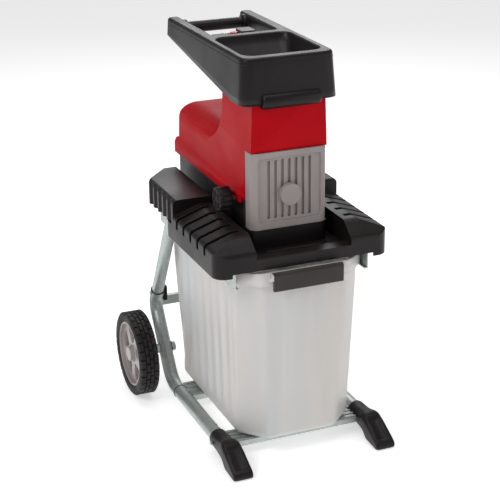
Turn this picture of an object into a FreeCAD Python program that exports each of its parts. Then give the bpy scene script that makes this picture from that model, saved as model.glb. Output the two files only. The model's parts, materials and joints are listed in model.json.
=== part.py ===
import FreeCAD, Part
import math
import os
import Sketcher

Vector = FreeCAD.Vector
os.makedirs("parts", exist_ok=True)
doc = FreeCAD.newDocument("shredder")
sheet = doc.addObject("Spreadsheet::Sheet", "Dims")

# Driving dimensions in millimetres. Front is -Y, left is -X, and the ground is z = 0.
DIMENSIONS = {
    "gap": 0.3, "fit": 0.05, "past": 1,
    # steel frame
    "reach": 328, "tube_x": 184, "rail_r": 17.5, "leg_r": 15.5, "tube_wall": 1.6,
    "rail_z": 32, "rail_front": -205, "rail_corner_y": 160, "rail_bend": 70,
    "knee_y": 281, "knee_z": 211, "knee_bend": 45, "rail_end_y": 257, "rail_end_z": 254.5,
    "leg_low_z": 238, "leg_top_z": 545, "leg_bolt_z": 530, "knee_bolt_z": 247, "foot_bolt_y": -184,
    "brace_low": 24, "brace_high": 38, "brace_wall": 2.5,
    "front_brace_y": -214, "front_brace_w": 62, "rear_brace_y": 54, "rear_brace_w": 80,
    "back_brace_y": 277, "back_brace_depth": 13, "back_brace_z": 200, "back_brace_w": 25,
    # front feet
    "foot_w": 50, "foot_rear": -162, "foot_toe": 65, "foot_heel": -245, "foot_bend_y": -240,
    "foot_bend_z": 62, "foot_socket_z": 54, "foot_round": 8,
    "toe_z": 14, "foot_under": 11,
    # wheels
    "wheel_r": 109, "wheel_w": 50, "wheel_out": 285, "axle_y": 212, "axle_r": 8, "axle_collar": 12,
    "axle_in": 157, "rim_r": 84, "rim_wall": 5, "hub_r": 22, "rim_lip": 3, "web_w": 8, "web_in": 12,
    "spokes": 5, "spoke_window_in": 30, "cap_r": 19, "cap_w": 6, "nut_w": 8, "nut_r": 13,
    "window_round": 20,
    # deck
    "deck_half": 216, "deck_front": -257, "deck_low": 475, "deck_top": 559, "deck_side_top": 536,
    "deck_slope_x": 150, "deck_nose_z": 527, "deck_nose_y": -214, "bumper_top": 511, "deck_skin": 4,
    "deck_step_y": 64, "deck_rear": 275, "deck_rear_low": 515, "deck_rear_top": 576, "deck_round": 30,
    "deck_chamfer_x": 66, "deck_chamfer_y": 72, "deck_grip_front": 26, "channel_half": 118,
    "tray_top": 500, "tray_front": -222, "tray_skin": 5, "lip_low": 484, "lip_half": 176,
    "slot_front": -185, "slot_pitch": 46, "slot_w": 13, "slot_in": 132, "slot_depth": 9, "slot_low": 512,
    "grip_r": 14, "grip_pitch": 33, "grip_first": 50, "grip_bite": 7, "tray_bead": 68, "tray_bead_r": 4,
    "tray_bead_y": -195, "rib_in": 167.5, "rib_w": 4,
    "leg_rib_w": 4, "leg_rib_front": 82, "leg_rib_rear": 142,
    "outlet_half": 55, "outlet_front": -113, "outlet_rear": -37, "slot_count": 5, "grip_count": 5,
    # collection box
    "box_rim_half": 164, "box_rim_front": -267, "box_rim_rear": 270, "box_rim_low": 445, "box_rim_top": 478,
    "box_half": 155, "box_front": -257, "box_rear": 262, "box_low": 45, "box_low_half": 136,
    "box_low_front": -240, "box_low_rear": 226, "box_wall": 3, "box_chamfer": 48, "box_low_chamfer": 58,
    "guide_ledge": 158.5, "guide_web": 164.5, "guide_wall": 3, "guide_front": -246, "guide_rear": 262,
    # box handle
    "handle_half": 86, "handle_low": 437, "pivot_y": -276, "pivot_z": 474, "barrel_r": 8, "flap_w": 10,
    "pin_r": 3, "lug_w": 6, "lug_low": 462,
    # lower housing and the shells above it
    "body_half": 98, "body_wall": 4, "body_front": -170, "body_step_y": -136, "body_rear": 310,
    "body_top": 614, "plinth_top": 547, "body_round": 14, "vent_count": 8, "vent_height": 25,
    "cover_half": 97, "cover_wall": 3.5, "cover_low": 605, "shoulder": 58, "motor_top": 740,
    "cover_rear": 316, "cover_rear_round": 45, "tower_top": 868, "tower_rear": 10, "tower_flare_z": 837,
    "flare_y": 110, "flare_z": 700, "flare_corner_z": 720, "flare_round": 100,
    "grille_top": 730, "skirt_half": 106, "skirt_top": 628, "skirt_slope": 640, "skirt_front": -128,
    "skirt_rear": 324,
    # grille
    "grille_half": 95, "grille_front": -174, "grille_wall": 4, "grille_round": 18, "panel_half": 78,
    "panel_low": 564, "panel_high": 717, "panel_depth": 4, "grille_slots": 7, "grille_pitch": 17,
    "grille_slot_w": 7, "front_cap_r": 26, "front_cap_w": 14, "front_cap_edge": 2,
    # hopper
    "hopper_top": 950, "hopper_half": 110, "hopper_front": -185, "hopper_low": 844, "hopper_skin": 4,
    "hopper_round": 22, "hopper_top_round": 7, "arm_end_low": 908, "arm_slope_y": -110, "mouth_half": 88,
    "mouth_front": -127, "mouth_rear": 38, "mouth_round": 20, "throat_half": 60, "throat_front": -118,
    "throat_rear": -32, "throat_z": 862, "cutout_y": 85, "cutout_half": 79, "cutout_round": 12,
    "roll_half": 70, "roll_z": 851, "roll_r": 17, "bar_r": 14, "bar_y": 290, "bar_z": 927, "bar_boss_r": 20,
    "bar_in": 95, "bar_boss_in": 73, "bar_screw_r": 2.5, "bar_screw_head": 6, "bar_screw_in": 68,
    # switch unit
    "panel_x": 46, "panel_rear": 185, "panel_z": 928, "panel_base": 872, "panel_wall": 3,
    "housing_in": 4, "housing_out": 40, "housing_front": 118, "housing_rear": 160, "housing_top": 944,
    "button_r": 9, "button_travel": 3, "stop_x": -8, "start_x": -30, "button_y": 138,
    "selector_r": 11, "selector_x": -24, "selector_y": 105,
    "reset_r": 5, "reset_x": 25, "reset_z": 912, "inlet_r": 15, "inlet_z": 899, "inlet_w": 20,
    # feed chute, chamber and drum
    "duct_half": 60, "duct_front": -118, "duct_rear": -32, "chute_wall": 4, "chamber_wall": 10,
    "chamber_top": 690, "drum_z": 627, "drum_r": 42, "drum_core": 33, "drum_teeth": 8, "tooth_w": 9,
    "drum_side_gap": 2, "shaft_r": 10, "shaft_front": -130, "bearing_r": 20, "bearing_w": 10,
    "plate_left": -59.5, "plate_right": -46.5, "plate_low": 585, "plate_high": 665, "spindle_r": 5,
    "spindle_y": -92, "spindle_z": 607, "spindle_in": -50.2, "spindle_hole": 8,
    "knob_r": 30, "knob_in": -114, "knob_out": -150, "knob_flutes": 10, "flute_r": 4, "collar_r": 9,
    # gearbox and motor
    "motor_z": 655, "fast_module": 1.25, "fast_pinion": 12, "fast_gear": 56, "slow_module": 2,
    "slow_pinion": 12, "slow_gear": 44, "slow_front": -8, "slow_rear": 10, "fast_front": 16, "fast_rear": 26,
    "gear_pin_r": 5, "case_left": -62, "case_right": 86, "case_low": 566, "case_high": 712, "case_round": 20,
    "case_wall": 4, "case_front": -22, "case_plate": 4, "case_rear": 66, "case_rear_wall": 8,
    "motor_shaft_r": 6, "motor_bearing_r": 13, "motor_bearing_w": 10, "frame_r": 55, "frame_wall": 3,
    "frame_rear": 216, "stator_front": 100, "stator_rear": 190, "rotor_r": 31, "air_gap": 0.5,
    "winding_out": 48, "winding_in": 35, "winding_w": 14, "shield_w": 6, "shaft_rear": 248, "fan_r": 46,
    "fan_front": 226, "fan_w": 16, "fan_blades": 8, "capacitor_r": 20, "capacitor_x": -62,
    "capacitor_front": 110, "capacitor_rear": 190, "switch_half": 14, "switch_y": 236, "switch_w": 24,
    "switch_z": 12, "bolt_r": 4, "bolt_head": 7, "bolt_head_w": 4, "screw_r": 2.5, "screw_head": 5,
    "screw_head_w": 3, "screw_x": 82, "blade_w": 2,
}


class Size:
    """A dimension with its value and the sheet expression that gives it."""

    def __init__(self, value, text):
        self.value = float(value)
        self.text = text

    def __add__(self, other):
        other = as_size(other)
        return Size(self.value + other.value, f"({self.text} + {other.text})")

    def __sub__(self, other):
        other = as_size(other)
        return Size(self.value - other.value, f"({self.text} - {other.text})")

    def __mul__(self, other):
        other = as_size(other)
        return Size(self.value * other.value, f"({self.text} * {other.text})")

    def __truediv__(self, other):
        other = as_size(other)
        return Size(self.value / other.value, f"({self.text} / {other.text})")

    def __radd__(self, other):
        return as_size(other) + self

    def __rsub__(self, other):
        return as_size(other) - self

    def __rmul__(self, other):
        return as_size(other) * self

    def __neg__(self):
        return Size(-self.value, f"(-1 * {self.text})")


def as_size(number):
    return number if isinstance(number, Size) else Size(number, f"({float(number)})")


def root(size):
    return Size(math.sqrt(size.value), f"sqrt({size.text})")


class Names:
    """The sheet's cells as attributes."""


d = Names()
for row, (cell_name, cell_value) in enumerate(DIMENSIONS.items(), start=1):
    sheet.set(f"A{row}", cell_name)
    sheet.set(f"B{row}", str(cell_value))
    sheet.setAlias(f"B{row}", cell_name)
    setattr(d, cell_name, Size(cell_value, f"Dims.{cell_name}"))
doc.recompute()


def bind(thing, prop, size):
    size = as_size(size)
    text = size.text if "Dims." in size.text else f"{size.value} mm"
    thing.setExpression(prop, text)


# ---- sketches and body features ----

PLANE_SIGN = {"XY": 1, "XZ": -1, "YZ": 1}


def new_body(name):
    body = doc.addObject("PartDesign::Body", name)
    doc.recompute()
    return body


def new_sketch(body, plane, shift):
    sketch = body.newObject("Sketcher::SketchObject", body.Name + "_sketch")
    role = plane + "_Plane"
    support = next(part for part in body.Origin.OriginFeatures if part.Role == role)
    sketch.AttachmentSupport = [(support, "")]
    sketch.MapMode = "FlatFace"
    for axis, amount in zip("xyz", shift):
        amount = as_size(amount)
        if amount.text != "(0.0)":
            bind(sketch, f"AttachmentOffset.Base.{axis}", amount)
    return sketch


def place_point(sketch, item, position, u, v):
    for kind, size, axis in (("DistanceX", u, -2), ("DistanceY", v, -1)):
        if abs(size.value) < 1e-9:
            sketch.addConstraint(Sketcher.Constraint("PointOnObject", item, position, axis))
            continue
        number = sketch.addConstraint(Sketcher.Constraint(kind, -1, 1, item, position, size.value))
        bind(sketch, f"Constraints[{number}]", size)


def draw_circle(sketch, u, v, radius):
    u, v, radius = as_size(u), as_size(v), as_size(radius)
    circle = Part.Circle(Vector(u.value, v.value, 0), Vector(0, 0, 1), radius.value)
    item = sketch.addGeometry(circle, False)
    place_point(sketch, item, 3, u, v)
    number = sketch.addConstraint(Sketcher.Constraint("Radius", item, radius.value))
    bind(sketch, f"Constraints[{number}]", radius)


def draw_outline(sketch, corners, closed=True):
    """Straight lines through the corners, each corner (u, v) or (u, v, radius of its round)."""
    sizes = [[as_size(part) for part in corner] for corner in corners]
    points = [Vector(corner[0].value, corner[1].value, 0) for corner in sizes]
    count = len(points)
    before, after, arcs = list(points), list(points), {}
    for index, corner in enumerate(sizes):
        if len(corner) < 3:
            continue
        radius = corner[2].value
        back = (points[index - 1] - points[index]).normalize()
        ahead = (points[(index + 1) % count] - points[index]).normalize()
        half = back.getAngle(ahead) / 2
        before[index] = points[index] + back * (radius / math.tan(half))
        after[index] = points[index] + ahead * (radius / math.tan(half))
        centre = points[index] + (back + ahead).normalize() * (radius / math.sin(half))
        left_turn = back.cross(ahead).z < 0
        first, last = (before[index], after[index]) if left_turn else (after[index], before[index])
        angles = [math.atan2(end.y - centre.y, end.x - centre.x) for end in (first, last)]
        circle = Part.Circle(centre, Vector(0, 0, 1), radius)
        arcs[index] = (Part.ArcOfCircle(circle, angles[0], angles[1]), left_turn)
    spans = count if closed else count - 1
    for index in range(spans):
        sketch.addGeometry(Part.LineSegment(after[index], before[(index + 1) % count]), False)
    marks = {}
    for index, corner in enumerate(sizes):
        marks[index] = sketch.addGeometry(Part.Point(points[index]), True)
        place_point(sketch, marks[index], 1, corner[0], corner[1])
    for index, corner in enumerate(sizes):
        line_in = (index - 1) % count
        line_out = index
        if index not in arcs:
            if line_out < spans:
                sketch.addConstraint(Sketcher.Constraint("Coincident", line_out, 1, marks[index], 1))
            if closed or index > 0:
                sketch.addConstraint(Sketcher.Constraint("Coincident", line_in, 2, marks[index], 1))
            continue
        arc, left_turn = arcs[index]
        item = sketch.addGeometry(arc, False)
        start, end = (1, 2) if left_turn else (2, 1)
        sketch.addConstraint(Sketcher.Constraint("PointOnObject", marks[index], 1, line_in))
        sketch.addConstraint(Sketcher.Constraint("PointOnObject", marks[index], 1, line_out))
        sketch.addConstraint(Sketcher.Constraint("Tangent", line_in, 2, item, start))
        sketch.addConstraint(Sketcher.Constraint("Tangent", line_out, 1, item, end))
        number = sketch.addConstraint(Sketcher.Constraint("Radius", item, corner[2].value))
        bind(sketch, f"Constraints[{number}]", corner[2])


def ordered(low, high):
    low, high = as_size(low), as_size(high)
    return (low, high) if low.value < high.value else (high, low)


def extrude(body, plane, low, high, corners, kind="Pad", origin=(0, 0)):
    low, high = ordered(low, high)
    level = high * -1 if PLANE_SIGN[plane] < 0 else low
    sketch = new_sketch(body, plane, (*origin, level))
    if isinstance(corners, tuple):
        draw_circle(sketch, *corners)
    else:
        draw_outline(sketch, corners)
    before = body.Shape.Volume if kind == "Pocket" else 0
    feature = body.newObject(f"PartDesign::{kind}", f"{body.Name}_{kind.lower()}")
    feature.Profile = sketch
    bind(feature, "Length", high - low)
    if kind == "Pocket":
        feature.Reversed = True
    doc.recompute()
    if kind == "Pocket" and body.Shape.Volume > before - 1:
        raise ValueError(f"a pocket in {body.Name} cuts nothing")
    return body


def prism(name, plane, low, high, corners):
    return extrude(new_body(name), plane, low, high, corners)


def turned(name, axis, centre, corners):
    """A body turned about an axis through centre, its outline given as (place along it, radius)."""
    body = new_body(name)
    plane = {"X": "XY", "Y": "YZ", "Z": "XZ"}[axis]
    first, second = centre
    shift = {"X": (0, first, second), "Y": (0, second, first), "Z": (first, 0, as_size(second) * -1)}[axis]
    sketch = new_sketch(body, plane, shift)
    if axis == "Z":
        corners = [(corner[1], corner[0], *corner[2:]) for corner in corners]
    draw_outline(sketch, corners)
    feature = body.newObject("PartDesign::Revolution", name + "_turn")
    feature.Profile = sketch
    feature.ReferenceAxis = (sketch, ["V_Axis" if axis == "Z" else "H_Axis"])
    feature.Angle = 360
    doc.recompute()
    return body


def stepped(name, axis, centre, steps):
    """A solid shaft: each step is (start, end, radius)."""
    corners = [(steps[0][0], 0)]
    for start, end, radius in steps:
        corners += [(start, radius), (end, radius)]
    corners.append((steps[-1][1], 0))
    return turned(name, axis, centre, corners)


def ring(name, axis, centre, low, high, outer, inner):
    return turned(name, axis, centre, [(low, inner), (low, outer), (high, outer), (high, inner)])


def lofted(name, low, low_corners, high, high_corners):
    body = new_body(name)
    sketches = []
    for level, corners in ((low, low_corners), (high, high_corners)):
        sketch = new_sketch(body, "XY", (0, 0, level))
        draw_outline(sketch, corners)
        sketches.append(sketch)
    feature = body.newObject("PartDesign::AdditiveLoft", name + "_loft")
    feature.Profile = sketches[0]
    feature.Sections = [sketches[1]]
    feature.Ruled = True
    doc.recompute()
    return body


def piped(name, side, start, corners, radius):
    """A round bar along a bent path in the plane x = side, starting level at start."""
    body = new_body(name)
    path = new_sketch(body, "YZ", (0, 0, side))
    draw_outline(path, corners, closed=False)
    profile = new_sketch(body, "XZ", (0, 0, as_size(start) * -1))
    draw_circle(profile, side, corners[0][1], radius)
    feature = body.newObject("PartDesign::AdditivePipe", name + "_pipe")
    feature.Profile = profile
    feature.Spine = (path, [])
    doc.recompute()
    return body


# ---- primitives and booleans ----

AXIS_TURN = {
    "X": FreeCAD.Rotation(Vector(0, 1, 0), 90),
    "Y": FreeCAD.Rotation(Vector(1, 0, 0), -90),
    "Z": FreeCAD.Rotation(),
}


def place(thing, x, y, z):
    for axis, amount in (("x", x), ("y", y), ("z", z)):
        bind(thing, f"Placement.Base.{axis}", amount)


def block(name, x0, x1, y0, y1, z0, z1):
    spans = [ordered(x0, x1), ordered(y0, y1), ordered(z0, z1)]
    box = doc.addObject("Part::Box", name)
    for prop, (low, high) in zip(("Length", "Width", "Height"), spans):
        bind(box, prop, high - low)
    place(box, *(low for low, high in spans))
    return box


def rod(name, axis, centre, radius, low, high):
    low, high = ordered(low, high)
    bar = doc.addObject("Part::Cylinder", name)
    bind(bar, "Radius", radius)
    bind(bar, "Height", high - low)
    bar.Placement = FreeCAD.Placement(Vector(0, 0, 0), AXIS_TURN[axis])
    first, second = centre
    spot = {"X": (low, first, second), "Y": (first, low, second), "Z": (first, second, low)}[axis]
    place(bar, *spot)
    return bar


def cut(name, base, *tools):
    for number, tool in enumerate(tools, start=1):
        last = number == len(tools)
        piece = doc.addObject("Part::Cut", name if last else f"{name}_{number}")
        piece.Base = base
        piece.Tool = tool
        base = piece
    return base


def fuse(name, *shapes):
    piece = doc.addObject("Part::MultiFuse", name)
    piece.Shapes = list(shapes)
    return piece


def common(name, *shapes):
    piece = doc.addObject("Part::MultiCommon", name)
    piece.Shapes = list(shapes)
    return piece


def group(name, *shapes):
    piece = doc.addObject("Part::Compound", name)
    piece.Links = list(shapes)
    return piece


nodes = {}


def node(name, piece):
    piece.Label = name
    nodes[name] = piece


def rectangle(x0, x1, y0, y1, *radius):
    return [(x0, y0, *radius), (x1, y0, *radius), (x1, y1, *radius), (x0, y1, *radius)]


def numbers(size):
    return range(int(size.value))


SIDES = {"left": -1, "right": 1}



# ---- steel frame: bent lower rails, upper legs and cross braces ----


def on_leg(z):
    """Where the leg's centre line is at height z."""
    run = (d.rail_end_y - d.knee_y) / (d.rail_end_z - d.knee_z)
    return d.knee_y + run * (z - d.knee_z)


def rail_path(overrun):
    """The rail's centre line, both ends run on so that a bore along it passes right through."""
    beyond_z = d.rail_end_z + overrun
    return [
        (d.rail_front - overrun, d.rail_z),
        (d.rail_corner_y, d.rail_z, d.rail_bend),
        (d.knee_y, d.knee_z, d.knee_bend),
        (on_leg(beyond_z), beyond_z),
    ]


def leg_bar(name, x, radius, overrun):
    low_z, top_z = d.leg_low_z - overrun, d.leg_top_z + overrun
    rise, run = top_z - low_z, on_leg(top_z) - on_leg(low_z)
    bar = doc.addObject("Part::Cylinder", name)
    bind(bar, "Radius", radius)
    bind(bar, "Height", root(rise * rise + run * run))
    turned_a_little = FreeCAD.Rotation(Vector(1, 0, 0), 1)  # an axis for the angle below
    bar.Placement = FreeCAD.Placement(Vector(0, 0, 0), turned_a_little)
    bar.setExpression("Placement.Rotation.Angle", f"atan2({(-run).text}; {rise.text})")
    place(bar, x, on_leg(low_z), low_z)
    return bar


def bolt(name, axis, centre, seat, tip, radius, head_radius, head_width):
    """A bolt whose head stands outside seat and whose shank runs to tip."""
    seat, tip = as_size(seat), as_size(tip)
    outward = 1 if seat.value > tip.value else -1
    head_top = seat + head_width * outward
    return stepped(name, axis, centre, [(tip, seat, radius), (seat, head_top, head_radius)])


def side_hole(name, x, y, z, radius):
    return rod(name, "X", (y, z), radius + d.fit, x - d.foot_w, x + d.foot_w)


rail_solids = []
frame_bolts = []
feet = []
foot_shapes = []
leg_bolt_holes = []
for side, sign in SIDES.items():
    x = d.tube_x * sign
    outer = piped(f"{side}_rail_bar", x, d.rail_front, rail_path(0), d.rail_r)
    bore = piped(f"{side}_rail_bore", x, d.rail_front - d.past, rail_path(1), d.rail_r - d.tube_wall)
    rail_solids.append(outer)
    knee = (on_leg(d.knee_bolt_z), d.knee_bolt_z)
    foot = (d.foot_bolt_y, d.rail_z)
    top = (on_leg(d.leg_bolt_z), d.leg_bolt_z)
    axle_hole = side_hole(f"{side}_axle_hole", x, d.axle_y, d.wheel_r, d.axle_r)
    knee_hole = side_hole(f"{side}_knee_hole", x, *knee, d.screw_r)
    foot_hole = side_hole(f"{side}_foot_hole", x, *foot, d.screw_r)
    top_hole = side_hole(f"{side}_top_hole", x, *top, d.bolt_r)
    leg_bolt_holes.append(top_hole)
    node(f"{side}_rail", cut(f"{side}_rail_tube", outer, bore, axle_hole, knee_hole, foot_hole))
    leg = leg_bar(f"{side}_leg_bar", x, d.leg_r, 0)
    leg_bore = leg_bar(f"{side}_leg_bore", x, d.leg_r - d.tube_wall, 2)
    node(f"{side}_upper_leg", cut(f"{side}_leg_tube", leg, leg_bore, top_hole, knee_hole))

    half_foot = d.foot_w / 2
    foot_shape = prism(f"{side}_foot_shape", "YZ", x - half_foot, x + half_foot, [
        (d.foot_rear, d.foot_under), (d.foot_rear, d.foot_socket_z),
        (d.foot_bend_y, d.foot_bend_z, d.foot_round * 2), (-d.reach, d.toe_z, d.foot_round / 2),
        (-d.reach, 0), (-d.reach + d.foot_toe, 0), (d.foot_heel, d.foot_under),
    ])
    socket = rod(f"{side}_socket", "Y", (x, d.rail_z), d.rail_r + d.fit, d.rail_front - d.gap,
                 d.foot_rear + d.past)
    foot_shapes.append(foot_shape)
    feet.append(cut(f"{side}_foot_cut", foot_shape, socket, foot_hole))

    foot_seat = x + half_foot * sign
    frame_bolts.append(bolt(f"{side}_foot_bolt", "X", foot, foot_seat, x - half_foot * sign,
                            d.screw_r, d.screw_head, d.screw_head_w))
    frame_bolts.append(bolt(f"{side}_knee_bolt", "X", knee, x + d.rail_r * sign, x - d.rail_r * sign,
                            d.screw_r, d.screw_head, d.screw_head_w))
    rib_out = x + (d.leg_r + d.gap + d.leg_rib_w) * sign
    rib_in = x - (d.leg_r + d.gap + d.leg_rib_w) * sign
    frame_bolts.append(bolt(f"{side}_deck_bolt", "X", top, rib_in, rib_out,
                            d.bolt_r, d.bolt_head, d.bolt_head_w))
node("frame_bolts", group("frame_bolt_set", *frame_bolts))
node("front_feet", group("foot_pair", *feet))


def brace(name, y, width, z_low, depth, opening):
    """A channel between the two rails, its ends coped to the tubes and the feet."""
    wall = d.brace_wall
    bar = block(f"{name}_bar", -d.tube_x, d.tube_x, y, y + width, z_low, z_low + depth)
    hollow = {
        "below": block(f"{name}_hollow", -d.tube_x, d.tube_x, y + wall, y + width - wall,
                       z_low - d.past, z_low + depth - wall),
        "behind": block(f"{name}_hollow", -d.tube_x, d.tube_x, y + wall, y + width + d.past,
                        z_low + wall, z_low + depth - wall),
    }[opening]
    return cut(f"{name}_cut", bar, hollow, *rail_solids, *foot_shapes)


brace_depth = d.brace_high - d.brace_low
node("floor_braces", group(
    "brace_pair",
    brace("front_brace", d.front_brace_y, d.front_brace_w, d.brace_low, brace_depth, "below"),
    brace("rear_brace", d.rear_brace_y, d.rear_brace_w, d.brace_low, brace_depth, "below"),
))
node("back_brace", brace("back_brace_channel", d.back_brace_y, d.back_brace_depth, d.back_brace_z,
                         d.back_brace_w, "behind"))


# ---- wheels ----

axles = []
axle_nuts = []
for side, sign in SIDES.items():
    centre = (d.axle_y, d.wheel_r)
    outer_x = d.wheel_out * sign
    inner_x = (d.wheel_out - d.wheel_w) * sign
    step = as_size(sign)
    tyre = turned(f"{side}_tyre_ring", "X", centre, [
        (inner_x, d.rim_r + d.fit), (inner_x, d.wheel_r, d.foot_round), (outer_x, d.wheel_r, d.foot_round),
        (outer_x, d.rim_r + d.fit),
    ])
    node(f"{side}_tyre", tyre)

    web_out = outer_x - d.web_in * step
    web_back = web_out - d.web_w * step
    lip_in, lip_out = inner_x + d.rim_lip * step, outer_x - d.rim_lip * step
    hub_in, hub_out = inner_x + step, outer_x - d.cap_w * step
    rim_inside, bore = d.rim_r - d.rim_wall, d.axle_r + d.fit
    rim = turned(f"{side}_rim_body", "X", centre, [
        (hub_in, bore), (hub_in, d.hub_r), (web_back, d.hub_r), (web_back, rim_inside), (lip_in, rim_inside),
        (lip_in, d.rim_r), (lip_out, d.rim_r), (lip_out, rim_inside), (web_out, rim_inside),
        (web_out, d.hub_r), (hub_out, d.hub_r), (hub_out, bore),
    ])
    window_top = rim_inside - d.rim_wall
    extrude(rim, "YZ", web_back, web_out, [
        (-d.cap_w, d.spoke_window_in, d.rim_lip), (d.cap_w, d.spoke_window_in, d.rim_lip),
        (d.spoke_window_in, window_top - d.hub_r / 2, d.foot_round),
        (0, window_top + d.rim_lip, d.window_round), (-d.spoke_window_in, window_top - d.hub_r / 2,
                                                      d.foot_round),
    ], "Pocket", origin=centre)
    window = rim.Tip
    spoke_pattern = rim.newObject("PartDesign::PolarPattern", f"{side}_spokes")
    spoke_pattern.Originals = [window]
    spoke_pattern.Axis = (window.Profile[0], ["N_Axis"])
    spoke_pattern.Angle = 360
    spoke_pattern.setExpression("Occurrences", d.spokes.text)
    rim.Tip = spoke_pattern
    node(f"{side}_rim", rim)

    cap_mouth = outer_x - d.cap_w / 2 * step
    node(f"{side}_hub_cap", turned(f"{side}_cap", "X", centre, [
        (hub_out, d.axle_r + d.past), (hub_out, d.cap_r), (outer_x, d.cap_r, d.rim_lip), (outer_x, 0),
        (cap_mouth, 0), (cap_mouth, d.axle_r + d.past),
    ]))
    collar = (d.tube_x + d.rail_r) * sign
    wheel_stop = inner_x + (1 - d.gap) * step
    axle_tip = cap_mouth - step
    axles.append(stepped(f"{side}_axle_bar", "X", centre, [
        (d.axle_in * sign, collar, d.axle_r), (collar, wheel_stop, d.axle_collar),
        (wheel_stop, axle_tip, d.axle_r),
    ]))
    nut_face = (d.tube_x - d.rail_r) * sign
    axle_nuts.append(ring(f"{side}_nut", "X", centre, nut_face - d.nut_w * step, nut_face,
                          d.nut_r, d.axle_r + d.fit))
node("axles", group("axle_pair", *axles))
node("axle_nuts", group("nut_pair", *axle_nuts))


# ---- deck ----


def deck_core(name, inset, drop):
    """The deck's outside drawn in by inset, with its open underside let down by drop."""
    half, low = d.deck_half - inset, d.deck_low - drop
    front, top = d.deck_front + inset, d.deck_top - inset
    step_y = d.deck_step_y - inset
    plan = prism(f"{name}_plan", "XY", low, top + d.gap, [
        (-half, front, d.deck_round), (half, front, d.deck_round), (half, step_y), (-half, step_y),
    ])
    section = prism(f"{name}_section", "XZ", front, step_y, [
        (-half, low), (half, low), (half, d.deck_side_top - inset, d.slot_w),
        (d.deck_slope_x, top, d.deck_round), (-d.deck_slope_x, top, d.deck_round),
        (-half, d.deck_side_top - inset, d.slot_w),
    ])
    profile = prism(f"{name}_profile", "YZ", -half, half, [
        (front, low), (front, d.deck_nose_z - inset, d.slot_w), (d.deck_nose_y, top, d.deck_round),
        (step_y, top), (step_y, low),
    ])
    return common(name, plan, section, profile)


def deck_rear_core(name, inset, drop):
    half, low = d.deck_half - inset, d.deck_rear_low - drop
    front, rear, top = d.deck_grip_front + inset, d.deck_rear - inset, d.deck_rear_top - inset
    plan = prism(f"{name}_plan", "XY", low, top, [
        (-half, front), (half, front), (half, rear - d.deck_chamfer_y, d.foot_round),
        (half - d.deck_chamfer_x, rear, d.foot_round), (-half + d.deck_chamfer_x, rear, d.foot_round),
        (-half, rear - d.deck_chamfer_y, d.foot_round),
    ])
    section = prism(f"{name}_section", "XZ", front, rear, [
        (-half, low), (half, low), (half, top, d.slot_w), (-half, top, d.slot_w),
    ])
    return common(name, plan, section)


def channel(name, widen):
    """The space between the wings above the tray, widened on every side."""
    half, tray = d.channel_half + widen, d.tray_top - widen * d.tray_skin / d.deck_skin
    tray_part = block(f"{name}_tray", -half, half, d.tray_front - widen, d.deck_rear + d.past, tray,
                      d.deck_rear_top + d.past)
    bumper = block(f"{name}_bumper", -half, half, d.deck_front - d.past, d.tray_front, d.bumper_top - widen,
                   d.deck_rear_top + d.past)
    return fuse(name, tray_part, bumper)


def deck_slots(name, widen, core):
    """The grooves of both wings, running out over the edge, as far in as core."""
    blocks = []
    for side, sign in SIDES.items():
        for number in numbers(d.slot_count):
            middle = d.slot_front + d.slot_pitch * number
            half = d.slot_w / 2 + widen
            inner, outer = (d.slot_in - widen) * sign, (d.deck_half + d.past) * sign
            blocks.append(block(f"{name}_{side}_{number}", inner, outer, middle - half, middle + half,
                                d.slot_low - widen, d.deck_top + d.past))
    return cut(name, fuse(f"{name}_blocks", *blocks), core)


def deck_grips(name, radius):
    rods = []
    for side, sign in SIDES.items():
        for number in numbers(d.grip_count):
            spot = ((d.deck_half + d.grip_r - d.grip_bite) * sign, d.grip_first + d.grip_pitch * number)
            rods.append(rod(f"{name}_{side}_{number}", "Z", spot, radius, d.deck_rear_low - d.past,
                            d.deck_rear_top + d.past))
    return fuse(name, *rods)


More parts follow.
